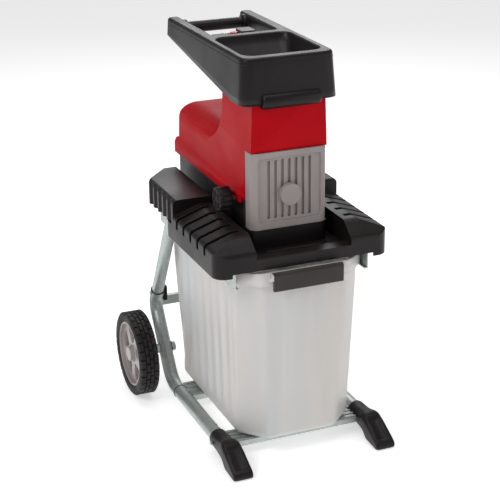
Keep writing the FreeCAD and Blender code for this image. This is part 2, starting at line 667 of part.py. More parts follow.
def make_deck():
    skin = d.deck_skin
    tray_low = d.tray_top - d.tray_skin
    rear_tray = block("rear_tray", -d.channel_half - skin, d.channel_half + skin, d.deck_step_y - skin,
                      d.deck_rear, tray_low, d.deck_rear_low + skin)
    outside = fuse("deck_outside", deck_core("deck_front_shape", 0, 0),
                   deck_rear_core("deck_rear_shape", 0, 0), rear_tray)
    grooves = deck_slots("deck_slots", 0, deck_core("groove_floor", d.slot_depth, 1))
    lip = block("lip_gap", -d.lip_half, d.lip_half, d.deck_front - d.past, d.deck_front + d.deck_round,
                d.deck_low - d.past, d.lip_low)
    outlet = block("deck_outlet", -d.outlet_half, d.outlet_half, d.outlet_front, d.outlet_rear,
                   tray_low - d.past, d.tray_top + d.past)
    keepers = [
        deck_slots("slot_walls", skin, deck_core("slot_wall_floor", d.slot_depth + skin, 1)),
        channel("channel_walls", skin),
        deck_grips("grip_walls", d.grip_r + skin),
    ]
    for side, sign in SIDES.items():
        keepers.append(block(f"{side}_rib", d.rib_in * sign, (d.rib_in + d.rib_w) * sign, d.guide_front,
                             d.deck_step_y, d.deck_low, d.deck_top))
        for name, place_out in (("outer", 1), ("inner", -1)):
            near = d.tube_x + (d.leg_r + d.gap) * place_out
            far = near + d.leg_rib_w * place_out
            keepers.append(block(f"{side}_{name}_leg_rib", near * sign, far * sign, d.leg_rib_front,
                                 d.leg_rib_rear, d.deck_rear_low, d.deck_rear_top))
    cavity = cut("deck_cavity", fuse("deck_hollows", deck_core("deck_front_hollow", skin, 1),
                                     deck_rear_core("deck_rear_hollow", skin, 1)), *keepers)
    box_way = block("box_way", -d.rib_in, d.rib_in, d.deck_step_y - skin - d.past, d.deck_step_y + d.past,
                    d.deck_low - d.past, tray_low)
    guide_ways = [
        block(f"{side}_guide_way", d.guide_web * sign, d.rib_in * sign, d.deck_step_y - skin - d.past,
              d.deck_step_y + d.past, tray_low - d.past, d.tray_top + d.gap) for side, sign in SIDES.items()
    ]
    holes = fuse("deck_holes", outlet, *leg_bolt_holes, *housing_bolt_holes)
    shell = cut("deck_shell", outside, cavity, grooves, channel("deck_channel", 0),
                deck_grips("deck_grips", d.grip_r), lip, box_way, *guide_ways, holes)
    bead = rod("tray_bead_rod", "X", (d.tray_bead_y, d.tray_top), d.tray_bead_r, -d.tray_bead, d.tray_bead)
    node("deck", fuse("deck_whole", shell, bead))


housing_bolts = []
housing_bolt_holes = []
for side, sign in SIDES.items():
    for number, y in enumerate((d.skirt_front, d.switch_y)):
        spot = (d.screw_x * sign, y)
        floor = d.tray_top - d.tray_skin
        tip = d.tray_top + d.body_wall * 2
        housing_bolts.append(bolt(f"{side}_housing_bolt_{number}", "Z", spot, floor, tip,
                                  d.screw_r, d.screw_head, d.screw_head_w))
        housing_bolt_holes.append(rod(f"{side}_housing_hole_{number}", "Z", spot, d.screw_r + d.fit,
                                      floor - d.past, tip))
node("housing_bolts", group("housing_bolt_set", *housing_bolts))
make_deck()

guides = []
for side, sign in SIDES.items():
    web = block(f"{side}_guide_web", d.guide_web * sign, (d.guide_web + d.guide_wall) * sign, d.guide_front,
                d.guide_rear, d.box_rim_low - d.guide_wall - d.gap, d.tray_top)
    ledge = block(f"{side}_guide_ledge", d.guide_ledge * sign, d.guide_web * sign, d.guide_front,
                  d.guide_rear, d.box_rim_low - d.guide_wall - d.gap, d.box_rim_low - d.gap)
    guides.append(fuse(f"{side}_guide", web, ledge))
node("box_guides", group("guide_pair", *guides))
node("interlock_switch", block("interlock", -d.switch_half, d.switch_half, d.switch_y - d.switch_w / 2,
                               d.switch_y + d.switch_w / 2, d.tray_top - d.tray_skin - d.switch_z,
                               d.tray_top - d.tray_skin))


# ---- collection box and its handle ----


def box_plan(half, front, rear, chamfer):
    return [
        (-half + chamfer, front), (half - chamfer, front), (half, front + chamfer), (half, rear - chamfer),
        (half - chamfer, rear), (-half + chamfer, rear), (-half, rear - chamfer), (-half, front + chamfer),
    ]


def box_loft(name, inset, floor, above):
    low = box_plan(d.box_low_half - inset, d.box_low_front + inset, d.box_low_rear - inset,
                   d.box_low_chamfer - inset / 2)
    top = box_plan(d.box_half - inset, d.box_front + inset, d.box_rear - inset, d.box_chamfer - inset / 2)
    return lofted(name, d.box_low + floor, low, d.box_rim_top + above, top)


wall = d.box_wall
walls = box_loft("box_walls", 0, 0, 0)
rim_block = block("box_rim", -d.box_rim_half, d.box_rim_half, d.box_rim_front, d.box_rim_rear,
                  d.box_rim_low, d.box_rim_top)
rim_under = block("box_rim_under", -d.box_rim_half + wall, d.box_rim_half - wall, d.box_rim_front + wall,
                  d.box_rim_rear - wall, d.box_rim_low - d.past, d.box_rim_top - wall)
rim_band = cut("box_rim_band", rim_block, rim_under)
lug_holes = rod("lug_holes", "X", (d.pivot_y, d.pivot_z), d.pin_r + d.fit, -d.box_half, d.box_half)
lugs = []
pins = []
for side, sign in SIDES.items():
    lug_in = (d.handle_half + d.gap) * sign
    lug_out = lug_in + d.lug_w * sign
    lugs.append(block(f"{side}_lug", lug_in, lug_out, d.pivot_y - d.pin_r * 2, d.box_rim_front, d.lug_low,
                      d.box_rim_top))
    pins.append(bolt(f"{side}_pin", "X", (d.pivot_y, d.pivot_z), lug_out, lug_in - d.barrel_r * 2 * sign,
                     d.pin_r, d.pin_r + d.past, 1))
box_outside = fuse("box_outside", walls, rim_band, *lugs)
node("collection_box", cut("box", box_outside, box_loft("box_inside", wall, wall, 1), lug_holes))
node("box_handle_pins", group("handle_pins", *pins))

barrel = rod("handle_barrel", "X", (d.pivot_y, d.pivot_z), d.barrel_r, -d.handle_half, d.handle_half)
flap_front = d.pivot_y - d.barrel_r
flap = prism("handle_flap", "YZ", -d.handle_half, d.handle_half, [
    (flap_front, d.pivot_z), (flap_front, d.handle_low, d.pin_r), (flap_front + d.flap_w, d.handle_low,
                                                                   d.pin_r),
    (flap_front + d.flap_w, d.pivot_z),
])
node("box_handle", cut("handle", fuse("handle_shape", barrel, flap), lug_holes))


# ---- lower housing ----


def housing_shape(name, inset, floor, above):
    half, front, rear = d.body_half - inset, d.body_front + inset, d.body_rear - inset
    step_y, low, top = d.body_step_y + inset, d.tray_top + floor, d.body_top + above
    plinth = d.plinth_top - inset
    profile = prism(f"{name}_profile", "YZ", -half, half, [
        (front, low), (front, plinth), (step_y, plinth), (step_y, top), (rear, top), (rear, low),
    ])
    plan = prism(f"{name}_plan", "XY", low, top, rectangle(-half, half, front, rear, d.body_round - inset))
    return common(name, profile, plan)


vents = []
for side, sign in SIDES.items():
    for number in numbers(d.vent_count):
        y = d.spindle_y + d.slot_w * number
        vents.append(block(f"{side}_vent_{number}", (d.body_half - d.body_wall * 2) * sign,
                           (d.body_half + d.past) * sign, y, y + d.slot_w / 2, d.slot_low,
                           d.slot_low + d.vent_height))
spindle_spot = (d.spindle_y, d.spindle_z)
spindle_passage = rod("spindle_passage", "X", spindle_spot, d.spindle_hole, d.knob_in,
                      d.knob_in + d.grip_pitch)
floor_outlet = block("floor_outlet", -d.outlet_half, d.outlet_half, d.outlet_front, d.outlet_rear,
                     d.tray_top - d.past, d.tray_top + d.body_wall + d.past)
node("lower_housing", cut("housing", housing_shape("housing_outside", 0, 0, 0),
                          housing_shape("housing_inside", d.body_wall, d.body_wall, 1), floor_outlet,
                          spindle_passage, fuse("vent_set", *vents), *housing_bolt_holes))


# ---- upper cover: tower, motor hood and skirt in one shell ----


def cover_shape(name, inset, drop):
    """The outside of the cover drawn in by inset, with its open edges run on by drop."""
    half, front, step_y = d.cover_half - inset, d.body_front + inset, d.body_step_y + inset
    low, sill = d.body_top - drop, d.grille_top + d.gap + inset
    rear, top = d.cover_rear - inset, d.motor_top - inset
    tower_back = d.tower_rear - inset
    tower = prism(f"{name}_tower", "YZ", -half, half, [
        (front, sill), (front, d.tower_top + drop), (tower_back, d.tower_top + drop),
        (tower_back, d.flare_corner_z, d.flare_round), (d.flare_y, d.flare_z - inset), (d.flare_y, low),
        (step_y, low), (step_y, sill),
    ])
    hood = common(
        f"{name}_hood",
        prism(f"{name}_hood_section", "XZ", step_y, rear, [
            (-half, low), (half, low), (half, top, d.shoulder - inset), (-half, top, d.shoulder - inset),
        ]),
        prism(f"{name}_hood_profile", "YZ", -half, half, [
            (step_y, low), (step_y, top), (rear, top, d.cover_rear_round - inset), (rear, low),
        ]),
        prism(f"{name}_hood_plan", "XY", low, top, [
            (-half, step_y), (half, step_y), (half, rear, d.body_round), (-half, rear, d.body_round),
        ]),
    )
    wide = d.skirt_half - inset
    skirt_back, skirt_front = d.skirt_rear - inset, d.skirt_front + inset
    skirt = common(
        f"{name}_skirt",
        prism(f"{name}_skirt_section", "XZ", skirt_front, skirt_back, [
            (-wide, d.cover_low - drop), (wide, d.cover_low - drop), (wide, d.skirt_top),
            (half, d.skirt_slope - inset), (-half, d.skirt_slope - inset), (-wide, d.skirt_top),
        ]),
        prism(f"{name}_skirt_plan", "XY", d.cover_low - drop, d.skirt_slope, [
            (-wide, skirt_front), (wide, skirt_front), (wide, skirt_back, d.body_round),
            (-wide, skirt_back, d.body_round),
        ]),
    )
    return fuse(name, tower, hood, skirt)


seat_half = d.body_half + d.gap
housing_seat = block("housing_seat", -seat_half, seat_half, d.skirt_front - d.past, d.body_rear + d.gap,
                     d.cover_low - d.past, d.body_top)
node("upper_cover", cut("cover", cover_shape("cover_outside", 0, 0),
                        cover_shape("cover_inside", d.cover_wall, 1), housing_seat, spindle_passage))


# ---- front grille and its round cap ----

grille_low = d.plinth_top + d.gap
grille_back = d.body_step_y - d.past
face = d.grille_front + d.panel_depth
grille_plan = [
    (-d.grille_half, d.grille_front, d.grille_round), (d.grille_half, d.grille_front, d.grille_round),
    (d.grille_half, grille_back), (-d.grille_half, grille_back),
]
grille_shape = prism("grille_shape", "XY", grille_low, d.grille_top, grille_plan)
inside = d.grille_half - d.grille_wall
grille_hollow = prism("grille_hollow", "XY", grille_low + d.grille_wall, d.grille_top - d.grille_wall, [
    (-inside, face + d.grille_wall, d.grille_round / 2), (inside, face + d.grille_wall, d.grille_round / 2),
    (inside, grille_back + d.past), (-inside, grille_back + d.past),
])
panel = prism("grille_panel", "XZ", d.grille_front - d.past, face,
              rectangle(-d.panel_half, d.panel_half, d.panel_low, d.panel_high, d.foot_round))
slots = []
middle_slot = (int(d.grille_slots.value) - 1) / 2
for number in numbers(d.grille_slots):
    x = d.grille_pitch * (number - middle_slot)
    half = d.grille_slot_w / 2
    slots.append(block(f"grille_slot_{number}", x - half, x + half, face - d.past,
                       face + d.grille_wall + d.past,
                       d.panel_low + d.grille_slot_w, d.panel_high - d.grille_slot_w))
node("front_grille", cut("grille", grille_shape, grille_hollow, panel, fuse("slot_set", *slots)))
node("front_cap", turned("front_cap_disc", "Y", (0, d.drum_z), [
    (face, 0), (face - d.front_cap_w, 0), (face - d.front_cap_w, d.front_cap_r, d.front_cap_edge),
    (face, d.front_cap_r),
]))


# ---- hopper with its arms, and the handle bar ----


def hopper_shape(name, inset, drop):
    half, front = d.hopper_half - inset, d.hopper_front + inset
    rear, top = d.reach - inset, d.hopper_top - inset
    edge = d.hopper_top_round
    profile = prism(f"{name}_profile", "YZ", -half, half, [
        (front, d.hopper_low - drop), (d.arm_slope_y, d.hopper_low - drop), (rear, d.arm_end_low - drop),
        (rear, top, edge), (front, top, edge),
    ])
    section = prism(f"{name}_section", "XZ", front, rear, [
        (-half, d.hopper_low - drop), (half, d.hopper_low - drop), (half, top, edge), (-half, top, edge),
    ])
    plan = prism(f"{name}_plan", "XY", d.hopper_low - drop, top, [
        (-half, front, d.hopper_round - inset), (half, front, d.hopper_round - inset),
        (half, rear, d.foot_round), (-half, rear, d.foot_round),
    ])
    return common(name, profile, section, plan)


def funnel(name, widen, overrun):
    throat = rectangle(-d.throat_half - widen, d.throat_half + widen, d.throat_front - widen,
                       d.throat_rear + widen, d.foot_round)
    mouth = rectangle(-d.mouth_half - widen, d.mouth_half + widen, d.mouth_front - widen,
                      d.mouth_rear + widen, d.mouth_round)
    return lofted(name, d.throat_z - overrun, throat, d.hopper_top + overrun, mouth)


def cutout(name, widen):
    half = d.cutout_half + widen
    return prism(name, "XY", d.tower_flare_z - d.hopper_round, d.hopper_top + d.past, [
        (-half, d.cutout_y - widen, d.cutout_round), (half, d.cutout_y - widen, d.cutout_round),
        (half, d.reach * 2), (-half, d.reach * 2),
    ])


bar_spot = (d.bar_y, d.bar_z)
bosses = []
bar_sockets = []
bar_screws = []
bar_holes = []
for side, sign in SIDES.items():
    skin_in = (d.hopper_half - d.hopper_skin) * sign
    bosses.append(rod(f"{side}_bar_boss", "X", bar_spot, d.bar_boss_r, d.bar_boss_in * sign, skin_in))
    bar_sockets.append(rod(f"{side}_bar_socket", "X", bar_spot, d.bar_r + d.fit,
                           (d.bar_boss_in - d.past) * sign,
                           (d.bar_in + d.gap) * sign))
    bar_sockets.append(rod(f"{side}_bar_counterbore", "X", bar_spot, d.bar_screw_head + d.fit, skin_in,
                           (d.hopper_half + d.past) * sign))
    bar_holes.append(rod(f"{side}_bar_hole", "X", bar_spot, d.bar_screw_r + d.fit,
                         (d.bar_screw_in - d.gap) * sign, (d.hopper_half + d.past) * sign))
    bar_screws.append(bolt(f"{side}_bar_screw", "X", bar_spot, skin_in, d.bar_screw_in * sign,
                           d.bar_screw_r, d.bar_screw_head, d.screw_head_w))
roll = common("hopper_roll", rod("roll_rod", "X", (d.hopper_front + d.foot_round, d.roll_z), d.roll_r,
                                 -d.roll_half, d.roll_half),
              block("roll_half_space", -d.roll_half, d.roll_half, d.hopper_front - d.roll_r,
                    d.hopper_front + d.hopper_skin, d.roll_z - d.roll_r, d.roll_z + d.roll_r))
hopper_cavity = cut("hopper_cavity", hopper_shape("hopper_hollow", d.hopper_skin, d.hopper_round),
                    funnel("funnel_wall", d.hopper_skin, 0), cutout("cutout_wall", d.hopper_skin))
hopper_shell = cut("hopper_shell", hopper_shape("hopper_outside", 0, 0), hopper_cavity)
node("hopper", cut("hopper_cut", fuse("hopper_whole", hopper_shell, roll, *bosses),
                   funnel("funnel_space", 0, 1), cutout("cutout_space_main", 0), *bar_sockets, *bar_holes))
node("handle_bar", cut("bar", rod("bar_rod", "X", bar_spot, d.bar_r, -d.bar_in, d.bar_in), *bar_holes))
node("handle_bar_screws", group("bar_screw_set", *bar_screws))


# ---- switch unit in the rear cut-out ----

skin = d.panel_wall


def button(name, spot, radius, low, travel):
    """A cap over the panel on a stem that passes through it."""
    stem = radius * 2 / 3
    under = d.panel_z + d.gap + travel
    turned_steps = [(low, under, stem), (under, under + d.button_r, radius)]
    node(name, stepped(f"{name}_turned", "Z", spot, turned_steps))
    return rod(f"{name}_hole", "Z", spot, stem + d.gap, d.panel_z - skin - d.past, d.panel_z + d.past)


panel_shape = block("panel_shape", -d.panel_x, d.panel_x, d.cutout_y, d.panel_rear, d.panel_base, d.panel_z)
panel_hollow = block("panel_hollow", -d.panel_x + skin, d.panel_x - skin, d.cutout_y + skin,
                     d.panel_rear - skin, d.panel_base - d.past, d.panel_z - skin)
well = d.panel_z - skin * 3
panel_holes = [
    button("stop_button", (d.stop_x, d.button_y), d.button_r, well, d.button_travel),
    button("start_button", (d.start_x, d.button_y), d.button_r, well, d.button_travel),
    button("direction_selector", (d.selector_x, d.selector_y), d.selector_r, well, 0),
]
reset_spot = (d.reset_x, d.reset_z)
reset_face = d.panel_rear + d.button_travel
node("reset_button", stepped("reset", "Y", reset_spot, [
    (d.panel_rear - skin * 3, reset_face, d.reset_r / 2), (reset_face, reset_face + d.reset_r, d.reset_r),
]))
panel_holes.append(rod("reset_hole", "Y", reset_spot, d.reset_r / 2 + d.gap, d.panel_rear - skin - d.past,
                       d.panel_rear + d.past))
node("switch_panel", cut("panel_cut", panel_shape, panel_hollow, *panel_holes))
node("switch_housing", prism("switch_block", "XY", d.panel_z, d.housing_top, rectangle(
    d.housing_in, d.housing_out, d.housing_front, d.housing_rear, d.reset_r)))
node("power_inlet", turned("inlet", "Y", (-d.selector_r, d.inlet_z), [
    (d.panel_rear, 0), (d.panel_rear, d.inlet_r), (d.panel_rear + d.inlet_w, d.inlet_r),
    (d.panel_rear + d.inlet_w, d.inlet_r - skin), (d.panel_rear + d.reset_r, d.inlet_r - skin),
    (d.panel_rear + d.reset_r, 0),
]))


# ---- feed chute, cutter chamber, drum and counter plate ----


def duct(name, wall_size, low, high):
    outer = block(f"{name}_block", -d.duct_half - wall_size, d.duct_half + wall_size,
                  d.duct_front - wall_size, d.duct_rear + wall_size, low, high)
    inner = block(f"{name}_passage", -d.duct_half, d.duct_half, d.duct_front, d.duct_rear, low - d.past,
                  high + d.past)
    return outer, inner


node("feed_chute", cut("chute", *duct("chute", d.chute_wall, d.chamber_top, d.throat_z)))
chamber_low = d.tray_top + d.body_wall
chamber_block, chamber_passage = duct("chamber", d.chamber_wall, chamber_low, d.chamber_top)
drum_spot = (0, d.drum_z)
chamber_front = d.duct_front - d.chamber_wall
chamber_rear = d.duct_rear + d.chamber_wall
bearing_seat = rod("bearing_seat", "Y", drum_spot, d.bearing_r + d.fit, chamber_front - d.past,
                   chamber_rear + d.past)
spindle_hole = rod("chamber_spindle_hole", "X", spindle_spot, d.spindle_r + d.fit,
                   -d.duct_half - d.chamber_wall - d.past, -d.duct_half + d.past)
node("cutter_chamber", cut("chamber", chamber_block, chamber_passage, bearing_seat, spindle_hole))
node("drum_bearings", group(
    "drum_bearing_pair",
    ring("front_race", "Y", drum_spot, chamber_front, chamber_front + d.bearing_w, d.bearing_r,
         d.shaft_r + d.fit),
    ring("rear_race", "Y", drum_spot, chamber_rear - d.bearing_w, chamber_rear, d.bearing_r,
         d.shaft_r + d.fit),
))
node("drum_shaft", stepped("drum_shaft_bar", "Y", drum_spot, [(d.shaft_front, d.slow_rear, d.shaft_r)]))

drum_front = d.duct_front + d.drum_side_gap
drum_rear = d.duct_rear - d.drum_side_gap
drum = new_body("drum")
extrude(drum, "XZ", drum_front, drum_rear, (0, 0, d.drum_core), origin=drum_spot)
half = d.tooth_w / 2
extrude(drum, "XZ", drum_front, drum_rear, [
    (-half, d.drum_core - 2), (half, d.drum_core - 2), (half, d.drum_r - 2), (-half, d.drum_r - d.fit * 2),
], origin=drum_spot)
tooth = drum.Tip
teeth = drum.newObject("PartDesign::PolarPattern", "drum_teeth_pattern")
teeth.Originals = [tooth]
teeth.Axis = (tooth.Profile[0], ["N_Axis"])
teeth.Angle = 360
teeth.setExpression("Occurrences", d.drum_teeth.text)
drum.Tip = teeth
doc.recompute()
extrude(drum, "XZ", drum_front - d.past, drum_rear + d.past, (0, 0, d.shaft_r), "Pocket", origin=drum_spot)
node("cutting_drum", drum)

plate_hole = rod("plate_hole", "X", spindle_spot, d.spindle_r + d.fit, d.plate_left - d.past,
                 d.spindle_in + d.gap)
node("counter_plate", cut("plate", block("plate_block", d.plate_left, d.plate_right, drum_front, drum_rear,
                                         d.plate_low, d.plate_high), plate_hole))
node("adjusting_spindle", stepped("spindle", "X", spindle_spot, [(d.knob_in, d.spindle_in, d.spindle_r)]))
knob_disc = turned("knob_disc", "X", spindle_spot, [
    (d.knob_in, 0), (d.knob_in, d.collar_r), (d.knob_in - d.panel_wall, d.knob_r, d.front_cap_edge),
    (d.knob_out, d.knob_r - d.front_cap_edge, d.front_cap_edge), (d.knob_out, 0),
])
flutes = []
for number in numbers(d.knob_flutes):
    angle = math.tau * number / d.knob_flutes.value
    ring_r = d.knob_r + d.flute_r / 2
    spot = (d.spindle_y + ring_r * math.cos(angle), d.spindle_z + ring_r * math.sin(angle))
    flutes.append(rod(f"knob_flute_{number}", "X", spot, d.flute_r, d.knob_out - d.past, d.knob_in + d.past))
node("adjusting_knob", cut("knob", knob_disc, fuse("flute_set", *flutes)))


# ---- gears: involute teeth on the drum shaft, the intermediate pin and the motor shaft ----


pressure_angle = math.radians(20)
tooth_height, tooth_depth = 0.8, 1.1  # in modules, above and below the pitch circle
tooth_slack = 0.12  # taken off each tooth so that the pair runs free
flank_steps = (0.02, 0.35, 0.7, 1)


def tooth_profile(module, teeth, phase):
    """The outline of a gear with slightly thinned involute teeth, a tooth at angle phase."""
    pitch_r = module * teeth / 2
    base_r = pitch_r * math.cos(pressure_angle)
    tip_r, root_r = pitch_r + tooth_height * module, pitch_r - tooth_depth * module
    thin = tooth_slack / pitch_r

    def flank(radius):
        roll = math.acos(min(1, base_r / radius))
        spread = (math.tan(pressure_angle) - pressure_angle) - (math.tan(roll) - roll)
        return math.pi / (2 * teeth) + spread - thin

    points = []
    for tooth_number in range(teeth):
        middle = phase + 2 * math.pi * tooth_number / teeth
        start_r = max(base_r, root_r)
        radii = [root_r] + [start_r + (tip_r - start_r) * share for share in flank_steps]
        angles = [middle - flank(max(radius, start_r)) for radius in radii]
        mirrored = [2 * middle - angle for angle in angles]
        pairs = list(zip(radii, angles)) + list(zip(radii, mirrored))[::-1]
        points += [Vector(radius * math.cos(angle), 0, radius * math.sin(angle)) for radius, angle in pairs]
    return Part.makePolygon(points + [points[0]])


def gear_solid(module, teeth, phase, front, rear, centre):
    face = Part.Face(tooth_profile(module.value, teeth, phase))
    solid = face.extrude(Vector(0, rear.value - front.value, 0))
    solid.translate(Vector(centre[0].value, front.value, centre[1].value))
    return solid


def gear_node(name, solids, centre, low, high, bore):
    solid = solids[0]
    for extra in solids[1:]:
        solid = solid.fuse(extra)
    if bore is not None:
        start, end = low - d.past, high + d.past
        spot = Vector(centre[0].value, start.value, centre[1].value)
        length = end.value - start.value
        solid = solid.cut(Part.makeCylinder(bore.value, length, spot, Vector(0, 1, 0)))
    piece = doc.addObject("Part::Feature", name)
    piece.Shape = solid.removeSplitter()
    piece.Placement = FreeCAD.Placement()
    node(name, piece)
    return piece


slow_reach = d.slow_module * (d.slow_pinion + d.slow_gear) / 2
fast_reach = d.fast_module * (d.fast_pinion + d.fast_gear) / 2
drop = d.motor_z - d.drum_z
along = (slow_reach * slow_reach - fast_reach * fast_reach + drop * drop) / (drop * 2)
pin_z = d.drum_z + along
pin_x = root(slow_reach * slow_reach - along * along)
pin_spot = (pin_x, pin_z)
motor_spot = (as_size(0), d.motor_z)
drum_centre = (as_size(0), d.drum_z)
to_drum = math.atan2(d.drum_z.value - pin_z.value, -pin_x.value)
to_motor = math.atan2(d.motor_z.value - pin_z.value, -pin_x.value)
slow_teeth, fast_teeth = int(d.slow_gear.value), int(d.fast_gear.value)
gear_node("drum_gear", [
    gear_solid(d.slow_module, slow_teeth, to_drum + math.pi + math.pi / slow_teeth, d.slow_front, d.slow_rear,
               drum_centre)], drum_centre, d.slow_front, d.slow_rear, d.shaft_r + d.fit)
gear_node("intermediate_gear", [
    gear_solid(d.slow_module, int(d.slow_pinion.value), to_drum, d.slow_front, d.fast_front + d.past,
               pin_spot),
    gear_solid(d.fast_module, fast_teeth, to_motor + math.pi / fast_teeth, d.fast_front, d.fast_rear,
               pin_spot),
], pin_spot, d.slow_front, d.fast_rear, d.gear_pin_r + d.fit)

case_inside = d.case_rear - d.case_rear_wall
motor_shaft = Part.makeCylinder(d.motor_shaft_r.value, (d.shaft_rear - d.fast_front).value,
                                Vector(0, d.fast_front.value, d.motor_z.value), Vector(0, 1, 0))
gear_node("motor_shaft", [
    gear_solid(d.fast_module, int(d.fast_pinion.value), to_motor + math.pi, d.fast_front - d.past,
               d.fast_rear + d.past,
               motor_spot), motor_shaft], motor_spot, d.fast_front, d.shaft_rear, None)


# ---- gearbox case and motor ----

case_plan = rectangle(d.case_left, d.case_right, d.case_low, d.case_high, d.case_round)
inner_plan = rectangle(d.case_left + d.case_wall, d.case_right - d.case_wall, d.case_low + d.case_wall,
                       d.case_high - d.case_wall, d.case_round - d.case_wall)
plate_rear = d.case_front + d.case_plate
shaft_passage = rod("shaft_passage", "Y", drum_spot, d.shaft_r + d.past, d.case_front - d.past,
                    plate_rear + d.past)
pin_bore = rod("pin_bore", "Y", pin_spot, d.gear_pin_r + d.fit, d.case_front - d.past,
               d.case_rear - d.case_wall)
plate_shape = prism("case_plate_shape", "XZ", d.case_front, plate_rear, case_plan)
node("gearbox_plate", cut("case_plate_cut", plate_shape, shaft_passage, pin_bore))
case_shape = prism("case_shape", "XZ", plate_rear, d.case_rear, case_plan)
bearing_boss = rod("bearing_boss", "Y", motor_spot, d.motor_bearing_r + d.case_wall, case_inside,
                   d.case_rear + d.case_wall)
bearing_hole = rod("motor_bearing_hole", "Y", motor_spot, d.motor_bearing_r + d.fit, case_inside - d.past,
                   d.case_rear + d.case_wall + d.past)
node("gearbox_housing", cut("case_cut", fuse("case_whole", case_shape, bearing_boss),
                            prism("case_inner", "XZ", plate_rear - d.past, case_inside, inner_plan),
                            bearing_hole, pin_bore))
node("gear_pin", rod("gear_pin_bar", "Y", pin_spot, d.gear_pin_r, d.case_front, d.case_rear - d.case_wall))
front_race = ring("motor_front_race", "Y", motor_spot, case_inside, case_inside + d.motor_bearing_w,
                  d.motor_bearing_r, d.motor_shaft_r + d.fit)
frame_in = d.frame_r - d.frame_wall
shield_rear = d.frame_rear + d.shield_w
node("motor_frame", ring("frame_tube", "Y", motor_spot, d.case_rear, d.frame_rear, d.frame_r, frame_in))
rear_seat = rod("rear_bearing_seat", "Y", motor_spot, d.motor_bearing_r + d.fit,
                d.frame_rear - d.motor_bearing_w, shield_rear + d.past)
shield_disc = stepped("shield_disc", "Y", motor_spot, [
    (d.frame_rear - d.shield_w, d.frame_rear, d.motor_bearing_r + d.case_wall),
    (d.frame_rear, shield_rear, d.frame_r),
])
node("motor_end_shield", cut("shield", shield_disc, rear_seat))
rear_race = ring("motor_rear_race", "Y", motor_spot, shield_rear - d.motor_bearing_w, shield_rear,
                 d.motor_bearing_r, d.motor_shaft_r + d.fit)
node("motor_bearings", group("motor_bearing_pair", front_race, rear_race))
node("stator_core", ring("stator_ring", "Y", motor_spot, d.stator_front, d.stator_rear, frame_in,
                         d.rotor_r + d.air_gap))
windings = []
for name, low, high in (("front", d.stator_front - d.winding_w, d.stator_front),
                        ("rear", d.stator_rear, d.stator_rear + d.winding_w)):
    windings.append(turned(f"{name}_winding", "Y", motor_spot, rectangle(
        low, high, d.winding_in, d.winding_out, d.spindle_r / 2)))
node("stator_windings", group("winding_pair", *windings))
node("rotor_core", ring("rotor_ring", "Y", motor_spot, d.stator_front, d.stator_rear, d.rotor_r,
                        d.motor_shaft_r + d.fit))
fan_hub = ring("fan_hub", "Y", motor_spot, d.fan_front, d.fan_front + d.fan_w, d.motor_bearing_r,
               d.motor_shaft_r + d.fit)
blades = []
half_blade = d.blade_w / 2
for number in numbers(d.fan_blades):
    blade = block(f"fan_blade_{number}", -half_blade, half_blade, d.fan_front, d.fan_front + d.fan_w, 0,
                  d.fan_r)
    place(blade, -half_blade, d.fan_front, d.motor_z)
    turn = FreeCAD.Rotation(Vector(0, 1, 0), 360 * number / d.fan_blades.value)
    blade.Placement = FreeCAD.Placement(blade.Placement.Base, turn)
    blades.append(blade)
fan_bore = rod("fan_bore", "Y", motor_spot, d.motor_shaft_r + d.fit, d.fan_front - d.past,
               d.fan_front + d.fan_w + d.past)
node("motor_fan", cut("fan_cut", fuse("fan_whole", fan_hub, *blades), fan_bore))
node("run_capacitor", rod("capacitor", "Y", (d.capacitor_x, d.tray_top + d.body_wall + d.capacitor_r),
                          d.capacitor_r, d.capacitor_front, d.capacitor_rear))


# ---- checks and files ----

doc.recompute()
for thing in doc.Objects:
    if "Invalid" in thing.State or "Error" in thing.State:
        raise ValueError(f"{thing.Name} did not build: {thing.State}")
for name, piece in nodes.items():
    shape = piece.Shape
    if shape.isNull() or not shape.isValid() or shape.Volume <= 0:
        raise ValueError(f"{name} has no valid shape")
for name, piece in nodes.items():
    piece.Shape.exportStep(f"parts/{name}.step")
print(len(nodes), "sub-parts written")
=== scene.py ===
import json
import math

import bmesh
import bpy
from mathutils import Matrix, Vector


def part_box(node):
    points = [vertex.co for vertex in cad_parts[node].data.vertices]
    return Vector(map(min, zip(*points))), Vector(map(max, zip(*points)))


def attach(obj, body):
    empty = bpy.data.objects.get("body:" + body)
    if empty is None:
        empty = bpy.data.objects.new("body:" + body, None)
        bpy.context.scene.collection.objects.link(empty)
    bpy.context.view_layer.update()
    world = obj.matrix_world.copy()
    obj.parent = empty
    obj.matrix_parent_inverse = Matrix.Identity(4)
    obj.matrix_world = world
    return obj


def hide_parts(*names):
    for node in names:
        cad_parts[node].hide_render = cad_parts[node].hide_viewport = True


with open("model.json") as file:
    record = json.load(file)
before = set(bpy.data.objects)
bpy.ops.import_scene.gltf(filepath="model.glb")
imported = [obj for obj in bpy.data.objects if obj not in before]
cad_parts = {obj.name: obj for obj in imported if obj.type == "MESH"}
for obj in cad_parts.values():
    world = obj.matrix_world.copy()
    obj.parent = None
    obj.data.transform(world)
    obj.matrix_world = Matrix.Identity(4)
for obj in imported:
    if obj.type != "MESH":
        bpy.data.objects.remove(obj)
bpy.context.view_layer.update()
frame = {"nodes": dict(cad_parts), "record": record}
nodes = frame["nodes"]
print("frame loaded,", len(nodes), "cad nodes")


# camera, floor and studio lights

